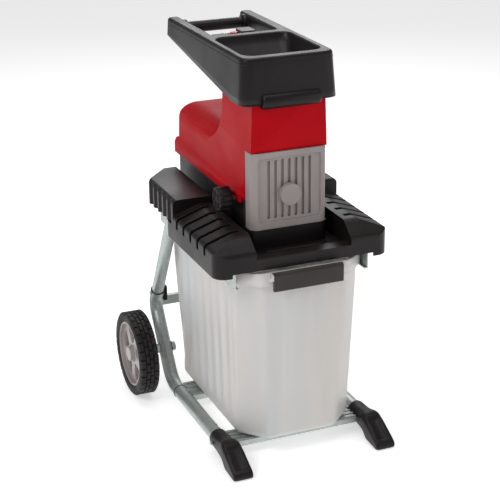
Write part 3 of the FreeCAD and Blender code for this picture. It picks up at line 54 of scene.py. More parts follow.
studio = {
    "eye": (-1.249, -2.975, 1.672),
    "yaw": 22.3,  # degrees from straight ahead towards +X
    "pitch": -21.1,
    "roll": -0.6,
    "lens": 101.8,
    "aim": (0, 0, 0.45),
    "floorHalf": 14,
    "floorColour": (0.90, 0.90, 0.90),
    "skyStrength": 0.3,
    "floorGlow": 0.5,
}
softboxes = [  # name, place, width and height, watts
    ("keyLight", (-2.8, -1.0, 3.0), (1.4, 1.4), 44),
    ("fillLight", (2.6, -3.0, 1.5), (2.0, 2.0), 18),
    ("topLight", (0.1, 0.2, 3.4), (2.2, 2.2), 34),
    ("rimLight", (1.2, 2.8, 2.4), (1.8, 1.8), 26),
]


def aimedTurn(direction):
    return Vector(direction).to_track_quat("-Z", "Y").to_euler()


def makeCamera():
    yaw, pitch, roll = (math.radians(studio[key]) for key in ("yaw", "pitch", "roll"))
    ahead = Vector((math.sin(yaw) * math.cos(pitch), math.cos(yaw) * math.cos(pitch), math.sin(pitch)))
    level = Vector((math.cos(yaw), -math.sin(yaw), 0))
    above = level.cross(ahead)
    right = level * math.cos(roll) + above * math.sin(roll)
    up = above * math.cos(roll) - level * math.sin(roll)
    data = bpy.data.cameras.new("studioCamera")
    data.lens = studio["lens"]
    data.clip_end = 60
    camera = bpy.data.objects.new("studioCamera", data)
    turn = Matrix((right, up, -ahead)).transposed().to_4x4()
    camera.matrix_world = Matrix.Translation(studio["eye"]) @ turn
    bpy.context.scene.collection.objects.link(camera)
    bpy.context.scene.camera = camera


def makeLights():
    for name, place, size, watts in softboxes:
        data = bpy.data.lights.new(name, "AREA")
        data.shape = "RECTANGLE"
        data.size, data.size_y = size
        data.energy = watts
        light = bpy.data.objects.new(name, data)
        light.location = place
        light.rotation_euler = aimedTurn(Vector(studio["aim"]) - Vector(place))
        bpy.context.scene.collection.objects.link(light)
    world = bpy.data.worlds.new("paleSky")
    world.use_nodes = True
    sky = world.node_tree.nodes["Background"]
    sky.inputs["Color"].default_value = (1, 1, 1, 1)
    sky.inputs["Strength"].default_value = studio["skyStrength"]
    bpy.context.scene.world = world
    bpy.context.scene.view_settings.view_transform = "Standard"


makeCamera()
makeLights()
print("camera and lights ready")


# small helpers for node trees


def shade(red, green, blue):  # a colour as seen on a screen, 0 to 255, made linear
    parts = [value / 255 for value in (red, green, blue)]
    linear = [p / 12.92 if p <= 0.04045 else ((p + 0.055) / 1.055) ** 2.4 for p in parts]
    return (*linear, 1)


def addNode(tree, kind, **settings):
    node = tree.nodes.new(kind)
    for key, value in settings.items():
        setattr(node, key, value)
    return node


def join(tree, source, target):
    tree.links.new(source, target)


def feed(tree, target, value):  # a socket or a plain value into an input
    if isinstance(value, bpy.types.NodeSocket):
        tree.links.new(value, target)
    else:
        target.default_value = value


def sums(tree, operation, first, second, clamp=False):
    node = addNode(tree, "ShaderNodeMath", operation=operation, use_clamp=clamp)
    feed(tree, node.inputs[0], first)
    feed(tree, node.inputs[1], second)
    return node.outputs[0]


def spread(tree, value, fromLow, fromHigh, toLow, toHigh):
    node = addNode(tree, "ShaderNodeMapRange")
    for socket, amount in zip(node.inputs, (value, fromLow, fromHigh, toLow, toHigh)):
        feed(tree, socket, amount)
    return node.outputs[0]


def blendColours(tree, share, first, second):
    node = addNode(tree, "ShaderNodeMix", data_type="RGBA")
    feed(tree, node.inputs["Factor"], share)
    feed(tree, node.inputs[6], first)
    feed(tree, node.inputs[7], second)
    return node.outputs[2]


def startGroup(name, inputs, outputs):
    group = bpy.data.node_groups.new(name, "ShaderNodeTree")
    for label, value in inputs:
        socket = group.interface.new_socket(name=label, in_out="INPUT", socket_type="NodeSocketFloat")
        socket.default_value = value
    for label, kind in outputs:
        group.interface.new_socket(name=label, in_out="OUTPUT", socket_type=kind)
    return group, addNode(group, "NodeGroupInput"), addNode(group, "NodeGroupOutput")


def placeGroup(tree, group, **values):
    node = addNode(tree, "ShaderNodeGroup", node_tree=group)
    for label, value in values.items():
        feed(tree, node.inputs[label], value)
    return node


def stretchedCoords(tree, stretch):
    coords = addNode(tree, "ShaderNodeTexCoord")
    mapping = addNode(tree, "ShaderNodeMapping")
    mapping.inputs["Scale"].default_value = stretch
    join(tree, coords.outputs["Object"], mapping.inputs["Vector"])
    return mapping.outputs["Vector"]


# shared surface effects


def cloudTexture(group, coords, scale, detail=2):  # scale is a number or a socket
    cloud = addNode(group, "ShaderNodeTexNoise")
    feed(group, cloud.inputs["Scale"], scale)
    cloud.inputs["Detail"].default_value = detail
    join(group, coords, cloud.inputs["Vector"])
    return cloud


def makeMouldGrain():  # the fine texture of a mould and the slow drift across a large part
    group, source, target = startGroup(
        "mouldGrain", [("Scale", 900.0), ("Drift", 7.0)],
        [("Height", "NodeSocketFloat"), ("Patch", "NodeSocketFloat")])
    coords = stretchedCoords(group, (1, 1, 1))
    pebbles = addNode(group, "ShaderNodeTexVoronoi", feature="SMOOTH_F1")
    join(group, coords, pebbles.inputs["Vector"])
    join(group, source.outputs["Scale"], pebbles.inputs["Scale"])
    specks = cloudTexture(group, coords, sums(group, "MULTIPLY", source.outputs["Scale"], 0.6), 3)
    drift = cloudTexture(group, coords, source.outputs["Drift"], 4)
    height = sums(group, "ADD", pebbles.outputs["Distance"], specks.outputs["Fac"])
    join(group, height, target.inputs["Height"])
    join(group, spread(group, drift.outputs["Fac"], 0.35, 0.65, 0.0, 1.0), target.inputs["Patch"])
    return group


def makeEdgeSheenAndWear():  # softened edges, and a broken mask along them that paints a highlight on each edge, mixed with edge wear
    group, source, target = startGroup(
        "edgeSheenAndWear", [("Radius", 0.0015), ("Spread", 6.0)],
        [("Normal", "NodeSocketVector"), ("Edge", "NodeSocketFloat")])
    softened = addNode(group, "ShaderNodeBevel", samples=6)
    join(group, source.outputs["Radius"], softened.inputs["Radius"])
    surface = addNode(group, "ShaderNodeNewGeometry")
    match = addNode(group, "ShaderNodeVectorMath", operation="DOT_PRODUCT")
    join(group, softened.outputs["Normal"], match.inputs[0])
    join(group, surface.outputs["Normal"], match.inputs[1])
    bend = sums(group, "SUBTRACT", 1.0, match.outputs["Value"])
    strong = sums(group, "MULTIPLY", bend, source.outputs["Spread"], clamp=True)
    patches = cloudTexture(group, stretchedCoords(group, (1, 1, 1)), 38, 5)
    broken = spread(group, patches.outputs["Fac"], 0.38, 0.62, 0.25, 1.0)
    join(group, softened.outputs["Normal"], target.inputs["Normal"])
    # the edge mask: painted highlight where the normal bends, broken by noise like wear
    join(group, sums(group, "MULTIPLY", strong, broken), target.inputs["Edge"])
    return group


def makeSettledDust():  # dust on what faces up
    group, source, target = startGroup(
        "settledDust", [("Amount", 0.2)], [("Mask", "NodeSocketFloat")])
    surface = addNode(group, "ShaderNodeNewGeometry")
    parts = addNode(group, "ShaderNodeSeparateXYZ")
    join(group, surface.outputs["Normal"], parts.inputs[0])
    upward = spread(group, parts.outputs["Z"], 0.3, 1.0, 0.0, 1.0)
    cloud = cloudTexture(group, stretchedCoords(group, (1, 1, 1)), 24, 8)
    patches = spread(group, cloud.outputs["Fac"], 0.42, 0.7, 0.0, 1.0)
    thick = sums(group, "MULTIPLY", upward, patches)
    join(group, sums(group, "MULTIPLY", thick, source.outputs["Amount"]), target.inputs["Mask"])
    return group


def makeFineScuffs():  # thin rubbed lines, longer one way
    group, source, target = startGroup(
        "fineScuffs", [("Scale", 60.0), ("Amount", 0.3)], [("Mask", "NodeSocketFloat")])
    lines = cloudTexture(group, stretchedCoords(group, (0.35, 2.4, 3.0)), source.outputs["Scale"], 9)
    lines.inputs["Roughness"].default_value = 0.7
    marks = spread(group, lines.outputs["Fac"], 0.6, 0.74, 0.0, 1.0)
    join(group, sums(group, "MULTIPLY", marks, source.outputs["Amount"]), target.inputs["Mask"])
    return group


def makeZincBloom():  # the mottled crystals of a zinc coat
    group, source, target = startGroup(
        "zincBloom", [("Scale", 130.0)], [("Tone", "NodeSocketFloat"), ("Streak", "NodeSocketFloat")])
    coords = stretchedCoords(group, (1, 1, 1))
    crystals = addNode(group, "ShaderNodeTexVoronoi")
    join(group, source.outputs["Scale"], crystals.inputs["Scale"])
    join(group, coords, crystals.inputs["Vector"])
    cloud = cloudTexture(group, coords, 30, 6)
    cell = addNode(group, "ShaderNodeSeparateColor")
    join(group, crystals.outputs["Color"], cell.inputs[0])
    half = sums(group, "MULTIPLY", cell.outputs[0], 0.5)
    join(group, sums(group, "ADD", half, sums(group, "MULTIPLY", cloud.outputs["Fac"], 0.5)),
         target.inputs["Tone"])
    drawn = cloudTexture(group, stretchedCoords(group, (3, 0.25, 1)), 90)
    join(group, drawn.outputs["Fac"], target.inputs["Streak"])
    return group


def makeRunningStreaks():  # upright flow marks of a large thin moulding
    group, source, target = startGroup(
        "runningStreaks", [("Scale", 26.0)], [("Streak", "NodeSocketFloat"), ("Cloud", "NodeSocketFloat")])
    drawn = cloudTexture(group, stretchedCoords(group, (1, 1, 0.07)), source.outputs["Scale"], 5)
    cloud = cloudTexture(group, stretchedCoords(group, (1, 1, 0.6)), 5, 3)
    join(group, spread(group, drawn.outputs["Fac"], 0.35, 0.65, 0.0, 1.0), target.inputs["Streak"])
    join(group, spread(group, cloud.outputs["Fac"], 0.35, 0.65, 0.0, 1.0), target.inputs["Cloud"])
    return group


mouldGrain = makeMouldGrain()
edgeSheenAndWear = makeEdgeSheenAndWear()
settledDust = makeSettledDust()
fineScuffs = makeFineScuffs()
zincBloom = makeZincBloom()
runningStreaks = makeRunningStreaks()
dustColour = shade(186, 176, 160)


# finishes


def startMaterial(name):
    material = bpy.data.materials.new(name)
    material.use_nodes = True
    return material, material.node_tree, material.node_tree.nodes["Principled BSDF"]


def roughen(tree, shader, height, normal, strength, depth):
    bump = addNode(tree, "ShaderNodeBump")
    bump.inputs["Strength"].default_value = strength
    bump.inputs["Distance"].default_value = depth
    join(tree, height, bump.inputs["Height"])
    join(tree, normal, bump.inputs["Normal"])
    join(tree, bump.outputs["Normal"], shader.inputs["Normal"])


def mouldedPlastic(name, look):
    material, tree, shader = startMaterial(name)
    grain = placeGroup(tree, mouldGrain, Scale=look["grain"], Drift=look.get("drift", 7.0))
    edge = placeGroup(tree, edgeSheenAndWear, Radius=look["edgeRadius"])
    dust = placeGroup(tree, settledDust, Amount=look.get("dust", 0.12))
    scuffs = placeGroup(tree, fineScuffs, Amount=look.get("scuffs", 0.2))
    colour = blendColours(tree, grain.outputs["Patch"], look["colour"], look["shadow"])
    # painted highlight on the rounded edges, mixed with edge wear, in the lighter edge colour
    paintedSheenAndWear = sums(tree, "MULTIPLY", edge.outputs["Edge"], look["edgeSheenWearShare"])
    colour = blendColours(tree, paintedSheenAndWear, colour, look["edgeColour"])
    scraped = sums(tree, "MULTIPLY", scuffs.outputs["Mask"], 0.5)
    colour = blendColours(tree, scraped, colour, look["edgeColour"])
    colour = blendColours(tree, dust.outputs["Mask"], colour, dustColour)
    join(tree, colour, shader.inputs["Base Color"])
    low, high = look["roughness"]
    rough = spread(tree, grain.outputs["Patch"], 0.0, 1.0, low, high)
    rough = sums(tree, "ADD", rough, sums(tree, "MULTIPLY", scuffs.outputs["Mask"], 0.25), clamp=True)
    join(tree, rough, shader.inputs["Roughness"])
    depth, strength = look.get("grainDepth", 0.0004), look.get("grainStrength", 0.3)
    roughen(tree, shader, grain.outputs["Height"], edge.outputs["Normal"], strength, depth)
    shader.inputs["Coat Weight"].default_value = look.get("coat", 0.0)
    shader.inputs["Coat Roughness"].default_value = look.get("coatRoughness", 0.15)
    shader.inputs["Specular IOR Level"].default_value = look.get("shine", 0.4)
    return material


def coatedMetal(name, look):
    material, tree, shader = startMaterial(name)
    bloom = placeGroup(tree, zincBloom, Scale=look["crystals"])
    edge = placeGroup(tree, edgeSheenAndWear, Radius=look["edgeRadius"])
    scuffs = placeGroup(tree, fineScuffs, Amount=look.get("scuffs", 0.4), Scale=90.0)
    colour = blendColours(tree, bloom.outputs["Tone"], look["colour"], look["shadow"])
    # painted highlight on the rounded edges, mixed with edge wear, in the lighter edge colour
    colour = blendColours(tree, sums(tree, "MULTIPLY", edge.outputs["Edge"], look["edgeSheenWearShare"]), colour,
                          look["edgeColour"])
    join(tree, colour, shader.inputs["Base Color"])
    low, high = look["roughness"]
    rough = spread(tree, bloom.outputs["Streak"], 0.3, 0.7, low, high)
    join(tree, sums(tree, "ADD", rough, sums(tree, "MULTIPLY", scuffs.outputs["Mask"], 0.3), clamp=True),
         shader.inputs["Roughness"])
    shader.inputs["Metallic"].default_value = look["metallic"]
    strength = look.get("bumpStrength", 0.15)
    roughen(tree, shader, bloom.outputs["Streak"], edge.outputs["Normal"], strength, 0.0004)
    return material


def milkyPlastic(name, look):
    material, tree, shader = startMaterial(name)
    streaks = placeGroup(tree, runningStreaks, Scale=look["streaks"])
    grain = placeGroup(tree, mouldGrain, Scale=look["grain"])
    edge = placeGroup(tree, edgeSheenAndWear, Radius=look["edgeRadius"])
    colour = blendColours(tree, streaks.outputs["Streak"], look["colour"], look["cool"])
    warm = sums(tree, "MULTIPLY", streaks.outputs["Cloud"], look["warmShare"])
    colour = blendColours(tree, warm, colour, look["warm"])
    # painted highlight on the rounded edges, mixed with edge wear, in the lighter edge colour
    colour = blendColours(tree, sums(tree, "MULTIPLY", edge.outputs["Edge"], look["edgeSheenWearShare"]), colour,
                          look["edgeColour"])
    join(tree, colour, shader.inputs["Base Color"])
    low, high = look["roughness"]
    join(tree, spread(tree, streaks.outputs["Cloud"], 0.0, 1.0, low, high), shader.inputs["Roughness"])
    fine = sums(tree, "MULTIPLY", grain.outputs["Height"], 0.1)
    height = sums(tree, "ADD", streaks.outputs["Streak"], fine)
    roughen(tree, shader, height, edge.outputs["Normal"], 0.25, 0.0006)
    shader.inputs["Transmission Weight"].default_value = look["clearness"]
    shader.inputs["IOR"].default_value = 1.49
    return material


finishes = {}

# each edgeColour is a painted edge highlight as well as edge wear; edgeSheenWearShare sets how much of it
# shows
finishes["hopper_plastic"] = mouldedPlastic("hopperPlastic", {
    "colour": shade(30, 25, 25), "shadow": shade(20, 16, 17), "edgeColour": shade(84, 77, 74),
    "roughness": (0.3, 0.4), "grain": 1100.0, "edgeRadius": 0.003, "edgeSheenWearShare": 0.3, "dust": 0.012,
    "grainStrength": 0.2, "shine": 0.24,
})
finishes["black_plastic"] = mouldedPlastic("deckPlastic", {
    "colour": shade(30, 25, 25), "shadow": shade(20, 16, 17), "edgeColour": shade(96, 87, 83),
    "roughness": (0.3, 0.42), "grain": 1000.0, "edgeRadius": 0.0025, "edgeSheenWearShare": 0.35, "dust": 0.015,
    "grainStrength": 0.2, "shine": 0.24,
})
finishes["red_plastic"] = mouldedPlastic("coverPlastic", {
    "colour": shade(188, 0, 18), "shadow": shade(178, 0, 16), "edgeColour": shade(206, 36, 30),
    "roughness": (0.36, 0.46), "grain": 700.0, "edgeRadius": 0.003, "edgeSheenWearShare": 0.25, "dust": 0.0,
    "grainStrength": 0.1, "shine": 0.07,
})
finishes["grey_plastic"] = mouldedPlastic("grillePlastic", {
    "colour": shade(160, 151, 149), "shadow": shade(150, 141, 139), "edgeColour": shade(196, 190, 187),
    "roughness": (0.42, 0.52), "grain": 900.0, "edgeRadius": 0.002, "edgeSheenWearShare": 0.4, "dust": 0.02,
    "shine": 0.25,
})
finishes["handle_plastic"] = mouldedPlastic("handlePlastic", {
    "colour": shade(48, 40, 38), "shadow": shade(38, 31, 30), "edgeColour": shade(92, 82, 77),
    "roughness": (0.4, 0.5), "grain": 1200.0, "edgeRadius": 0.002, "edgeSheenWearShare": 0.4, "dust": 0.05,
})
finishes["tyre_rubber"] = mouldedPlastic("tyreRubber", {
    "colour": shade(34, 30, 30), "shadow": shade(25, 22, 22), "edgeColour": shade(74, 68, 66),
    "roughness": (0.55, 0.75), "grain": 500.0, "edgeRadius": 0.001, "edgeSheenWearShare": 0.3, "dust": 0.05,
    "drift": 18.0, "shine": 0.35, "grainDepth": 0.0008,
})
finishes["rim_plastic"] = mouldedPlastic("rimPlastic", {
    "colour": shade(168, 160, 159), "shadow": shade(152, 145, 145), "edgeColour": shade(206, 202, 200),
    "roughness": (0.3, 0.42), "grain": 800.0, "edgeRadius": 0.002, "edgeSheenWearShare": 0.35, "dust": 0.05,
})
finishes["stop_red"] = mouldedPlastic("stopPlastic", {
    "colour": shade(214, 26, 30), "shadow": shade(196, 20, 26), "edgeColour": shade(236, 90, 84),
    "roughness": (0.22, 0.3), "grain": 900.0, "edgeRadius": 0.001, "edgeSheenWearShare": 0.3,
})
finishes["start_cream"] = mouldedPlastic("startPlastic", {
    "colour": shade(222, 214, 190), "shadow": shade(206, 198, 174), "edgeColour": shade(240, 236, 224),
    "roughness": (0.3, 0.4), "grain": 900.0, "edgeRadius": 0.001, "edgeSheenWearShare": 0.3,
})
finishes["switch_grey"] = mouldedPlastic("switchPlastic", {
    "colour": shade(64, 63, 68), "shadow": shade(54, 53, 58), "edgeColour": shade(120, 118, 120),
    "roughness": (0.38, 0.48), "grain": 900.0, "edgeRadius": 0.001, "edgeSheenWearShare": 0.3,
})
finishes["capacitor_white"] = mouldedPlastic("capacitorPlastic", {
    "colour": shade(226, 224, 216), "shadow": shade(208, 206, 198), "edgeColour": shade(240, 238, 232),
    "roughness": (0.4, 0.5), "grain": 900.0, "edgeRadius": 0.001, "edgeSheenWearShare": 0.2,
})
finishes["clear_plastic"] = milkyPlastic("boxPlastic", {
    "colour": shade(240, 238, 235), "cool": shade(230, 233, 234), "warm": shade(240, 230, 222),
    "warmShare": 0.55, "edgeColour": shade(246, 245, 243), "roughness": (0.3, 0.45), "grain": 600.0,
    "streaks": 26.0, "edgeRadius": 0.002, "edgeSheenWearShare": 0.6, "clearness": 0.3,
})
finishes["galvanised_steel"] = coatedMetal("tubeZinc", {
    "colour": shade(196, 202, 199), "shadow": shade(170, 178, 176), "edgeColour": shade(226, 230, 228),
    "roughness": (0.34, 0.5), "crystals": 160.0, "edgeRadius": 0.001, "edgeSheenWearShare": 0.4, "metallic": 0.75,
})
finishes["zinc_steel"] = coatedMetal("fastenerZinc", {
    "colour": shade(206, 208, 210), "shadow": shade(180, 184, 190), "edgeColour": shade(236, 238, 240),
    "roughness": (0.22, 0.36), "crystals": 300.0, "edgeRadius": 0.0006, "edgeSheenWearShare": 0.4, "metallic": 1.0,
})
finishes["tool_steel"] = coatedMetal("toolSteel", {
    "colour": shade(150, 150, 154), "shadow": shade(116, 116, 122), "edgeColour": shade(206, 206, 210),
    "roughness": (0.26, 0.42), "crystals": 240.0, "edgeRadius": 0.0008, "edgeSheenWearShare": 0.6, "metallic": 1.0,
})
finishes["gear_steel"] = coatedMetal("gearSteel", {
    "colour": shade(164, 162, 158), "shadow": shade(136, 132, 128), "edgeColour": shade(214, 212, 206),
    "roughness": (0.2, 0.34), "crystals": 400.0, "edgeRadius": 0.0005, "edgeSheenWearShare": 0.5, "metallic": 1.0,
})
finishes["cast_aluminium"] = coatedMetal("castAluminium", {
    "colour": shade(188, 188, 186), "shadow": shade(158, 158, 158), "edgeColour": shade(216, 216, 214),
    "roughness": (0.46, 0.62), "crystals": 90.0, "edgeRadius": 0.001, "edgeSheenWearShare": 0.3, "metallic": 1.0,
    "bumpStrength": 0.35,
})
finishes["copper_winding"] = coatedMetal("copperWinding", {
    "colour": shade(196, 112, 68), "shadow": shade(160, 84, 48), "edgeColour": shade(222, 150, 108),
    "roughness": (0.3, 0.46), "crystals": 500.0, "edgeRadius": 0.0008, "edgeSheenWearShare": 0.3, "metallic": 1.0,
})
finishes["lamination_steel"] = coatedMetal("laminationSteel", {
    "colour": shade(126, 128, 134), "shadow": shade(92, 94, 102), "edgeColour": shade(180, 182, 188),
    "roughness": (0.36, 0.5), "crystals": 300.0, "edgeRadius": 0.0006, "edgeSheenWearShare": 0.3, "metallic": 1.0,
})


def paintFrame():
    slotOfNode = {row["node"]: row["material_slot"] for row in frame["record"]["subparts"]}
    for name, piece in nodes.items():
        piece.data.materials.clear()
        piece.data.materials.append(finishes[slotOfNode[name]])


paintFrame()
print("finishes ready,", len(finishes))


# floor


def makeFloor():
    half = studio["floorHalf"]
    mesh = bpy.data.meshes.new("studioFloor")
    corners = [(-half, -half, 0), (half, -half, 0), (half, half, 0), (-half, half, 0)]
    mesh.from_pydata(corners, [], [(0, 1, 2, 3)])
    floor = bpy.data.objects.new("studioFloor", mesh)
    bpy.context.scene.collection.objects.link(floor)
    material, tree, shader = startMaterial("floorPaper")
    shader.inputs["Base Color"].default_value = (*studio["floorColour"], 1)
    shader.inputs["Roughness"].default_value = 0.9
    shader.inputs["Emission Color"].default_value = (1, 1, 1, 1)
    shader.inputs["Emission Strength"].default_value = studio["floorGlow"]
    mesh.materials.append(material)


makeFloor()


# mesh helpers; every piece has its place in its mesh, in metres


def finishPiece(name, build, slot, body, standsFor=(), smoothAngle=35):
    mesh = bpy.data.meshes.new(name)
    bmesh.ops.recalc_face_normals(build, faces=build.faces)
    build.to_mesh(mesh)
    build.free()
    mesh.shade_smooth()
    mesh.set_sharp_from_angle(angle=math.radians(smoothAngle))
    mesh.materials.append(finishes[slot])
    piece = bpy.data.objects.new(name, mesh)
    bpy.context.scene.collection.objects.link(piece)
    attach(piece, body)
    if standsFor:
        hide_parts(*standsFor)
    return piece


def bridgeRings(build, rings, closed=True, capStart=False, capEnd=False):
    rows = [[build.verts.new(point) for point in ring] for ring in rings]
    count = len(rows[0])
    for here, there in zip(rows, rows[1:]):
        for number in range(count if closed else count - 1):
            after = (number + 1) % count
            build.faces.new((here[number], here[after], there[after], there[number]))
    if capStart:
        build.faces.new(rows[0])
    if capEnd:
        build.faces.new(rows[-1])
    return rows


def spinPoint(centre, along, radius, angle):  # about an axle along X, centre is (y, z)
    return Vector((along, centre[0] + radius * math.cos(angle), centre[1] + radius * math.sin(angle)))


def spinProfile(build, centre, profile, steps, closed=True):
    rings = [[spinPoint(centre, along, radius, math.tau * step / steps) for step in range(steps)]
             for along, radius in profile]
    if closed:
        rings.append(rings[0])
    return bridgeRings(build, rings)


def softBlock(build, low, high, rounding=0.001, segments=2):
    made = bmesh.ops.create_cube(build, size=1)["verts"]
    low, high = Vector(low), Vector(high)
    for vert in made:
        vert.co = Vector(low[i] + (vert.co[i] + 0.5) * (high[i] - low[i]) for i in range(3))
    edges = {edge for vert in made for edge in vert.link_edges}
    bmesh.ops.bevel(build, geom=list(edges), offset=rounding, segments=segments, profile=0.5,
                    affect="EDGES")


def bendPoints(before, corner, after, steps):  # the arc that rounds one corner (u, v, radius)
    here, radius = Vector(corner[:2]), corner[2]
    back = (Vector(before[:2]) - here).normalized()
    ahead = (Vector(after[:2]) - here).normalized()
    half = back.angle(ahead) / 2
    middle = here + (back + ahead).normalized() * radius / math.sin(half)
    first = here + back * radius / math.tan(half) - middle
    sweep = first.angle_signed(here + ahead * radius / math.tan(half) - middle)
    return [middle + Matrix.Rotation(-sweep * step / steps, 2) @ first for step in range(steps + 1)]


def roundedOutline(corners, steps=6):  # a closed outline through corners (u, v, radius)
    points = []
    for index, corner in enumerate(corners):
        if corner[2] <= 0:
            points.append(Vector(corner[:2]))
        else:
            points += bendPoints(corners[index - 1], corner, corners[(index + 1) % len(corners)], steps)
    return points


print("helpers ready")


# collection box


boxLook = {
    "wall": 0.003,
    "flutePitch": 0.052, "fluteDepth": 0.004, "fluteEdge": 0.005, "fluteSpan": 0.19,
    "panelHalf": 0.05, "panelRise": 0.0045,
    "bottomRound": 0.016, "footInset": 0.04, "footRise": 0.004,
    "chamferTop": 0.048, "chamferLow": 0.058,
    "wallTop": (0.155, -0.257, 0.262), "wallLow": (0.144, -0.246, 0.228),  # half width, front, rear
    "flangeOut": (0.009, 0.010, 0.008),
    "flangeDrop": 0.031,
    "wallSteps": 24,
    "lugFront": 0.006, "lugRear": -0.266, "lugWidth": 0.006, "lugGap": 0.0003,
    "softPasses": 3,
}


def fade(value, start, end):  # 0 before start, 1 after end, smooth between
    share = min(max((value - start) / (end - start), 0), 1)
    return share * share * (3 - 2 * share)


def boxRing(height, low, high, inset, relief):
    share = (height - low) / (high - low)
    half, front, rear = (a + (b - a) * share for a, b in zip(boxLook["wallLow"], boxLook["wallTop"]))
    cut = boxLook["chamferLow"] + (boxLook["chamferTop"] - boxLook["chamferLow"]) * share - inset[0] / 2
    half, front, rear = half - inset[0], front + inset[1], rear - inset[2]
    corners = [
        (-half + cut, front), (half - cut, front), (half, front + cut), (half, rear - cut),
        (half - cut, rear), (-half + cut, rear), (-half, rear - cut), (-half, front + cut),
    ]
    steps = (54, 12, 100, 12, 54, 12, 100, 12)
    points = []
    for index, count in enumerate(steps):
        start, end = Vector(corners[index]), Vector(corners[(index + 1) % 8])
        outward = Vector(((end - start).y, -(end - start).x)).normalized()
        for step in range(count):
            point = start.lerp(end, step / count)
            push = 0.0
            if index in (2, 6) and abs(point.y) < boxLook["fluteSpan"]:
                place = (point.y / boxLook["flutePitch"]) % 1
                edge = boxLook["fluteEdge"] / boxLook["flutePitch"]
                push = -boxLook["fluteDepth"] * fade(place, 0, edge) * (1 - fade(place, 0.5, 0.5 + edge))
            if index in (0, 4):
                inside = 1 - fade(abs(point.x), boxLook["panelHalf"], boxLook["panelHalf"] + 0.004)
                push = boxLook["panelRise"] * inside
            points.append(point + outward * push * relief)
    for _ in range(boxLook["softPasses"]):
        points = [(points[i - 1] + points[i] * 2 + points[(i + 1) % len(points)]) / 4
                  for i in range(len(points))]
    return [Vector((point.x, point.y, height)) for point in points]


def makeCollectionBox():
    low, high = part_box("collection_box")
    bottom, top = low.z, high.z
    build = bmesh.new()
    rings = []
    foot = boxLook["footInset"]
    rings.append(boxRing(bottom + boxLook["footRise"], bottom, top, (foot + 0.006,) * 3, 0))
    rings.append(boxRing(bottom + boxLook["footRise"], bottom, top, (foot + 0.002,) * 3, 0))
    rings.append(boxRing(bottom, bottom, top, (foot - 0.002,) * 3, 0))
    round_ = boxLook["bottomRound"]
    for step in range(7):  # the rounded lower edge
        angle = math.pi / 2 * step / 6
        inset = round_ * (1 - math.sin(angle))
        rings.append(boxRing(bottom + round_ * (1 - math.cos(angle)), bottom, top, (inset,) * 3, 0))
    wallEnd = top - 0.006
    for step in range(1, boxLook["wallSteps"] + 1):
        height = bottom + round_ + (wallEnd - bottom - round_) * step / boxLook["wallSteps"]
        relief = fade(height, bottom + 0.025, bottom + 0.05) * (1 - fade(height, top - 0.06, top - 0.042))
        rings.append(boxRing(height, bottom, top, (0,) * 3, relief))
    flange = boxLook["flangeOut"]
    for share, height in ((0.12, top - 0.0015), (0.35, top), (0.85, top), (1, top - 0.002),
                          (1, top - 0.016), (1, top - boxLook["flangeDrop"])):
        rings.append(boxRing(top, bottom, top, [-amount * share for amount in flange], 0))
        for point in rings[-1]:
            point.z = height
    bridgeRings(build, rings, capStart=True)
    box = finishPiece("collectionBox", build, "clear_plastic", "box", ("collection_box",), smoothAngle=55)
    thick = box.modifiers.new("wallThickness", "SOLIDIFY")
    thick.thickness = boxLook["wall"]
    thick.offset = -1
    return box


def makeBoxLugs():
    low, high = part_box("box_handle")
    pinLow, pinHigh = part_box("box_handle_pins")
    build = bmesh.new()
    pivotY, pivotZ = (pinLow.y + pinHigh.y) / 2, (pinLow.z + pinHigh.z) / 2
    for side in (-1, 1):
        inner = side * (high.x + boxLook["lugGap"])
        outer = inner + side * boxLook["lugWidth"]
        front, rear = pivotY - boxLook["lugFront"], boxLook["lugRear"]
        outline = roundedOutline([
            (front, pivotZ - 0.011, 0.005), (rear, pivotZ - 0.016, 0.002),
            (rear, pivotZ + 0.004, 0.0005), (front, pivotZ + 0.004, 0.004),
        ])
        rings = [[Vector((x, point.x, point.y)) for point in outline] for x in (inner, outer)]
        bridgeRings(build, rings, capStart=True, capEnd=True)
    finishPiece("boxLugs", build, "clear_plastic", "box")


makeCollectionBox()
makeBoxLugs()
print("collection box made")


# tyres


tyreLook = {
    "blocksAround": 30,
    "tread": 0.0045,
    "blockGap": 0.16,  # share of the pitch left open
    "rows": ((0.0, 0.27), (0.31, 0.485), (0.515, 0.69), (0.73, 1.0)),  # shares of the width
    "taper": 0.0006,
    "shoulder": 0.0035,
    "bore": 0.08405,
    "around": 120,
}


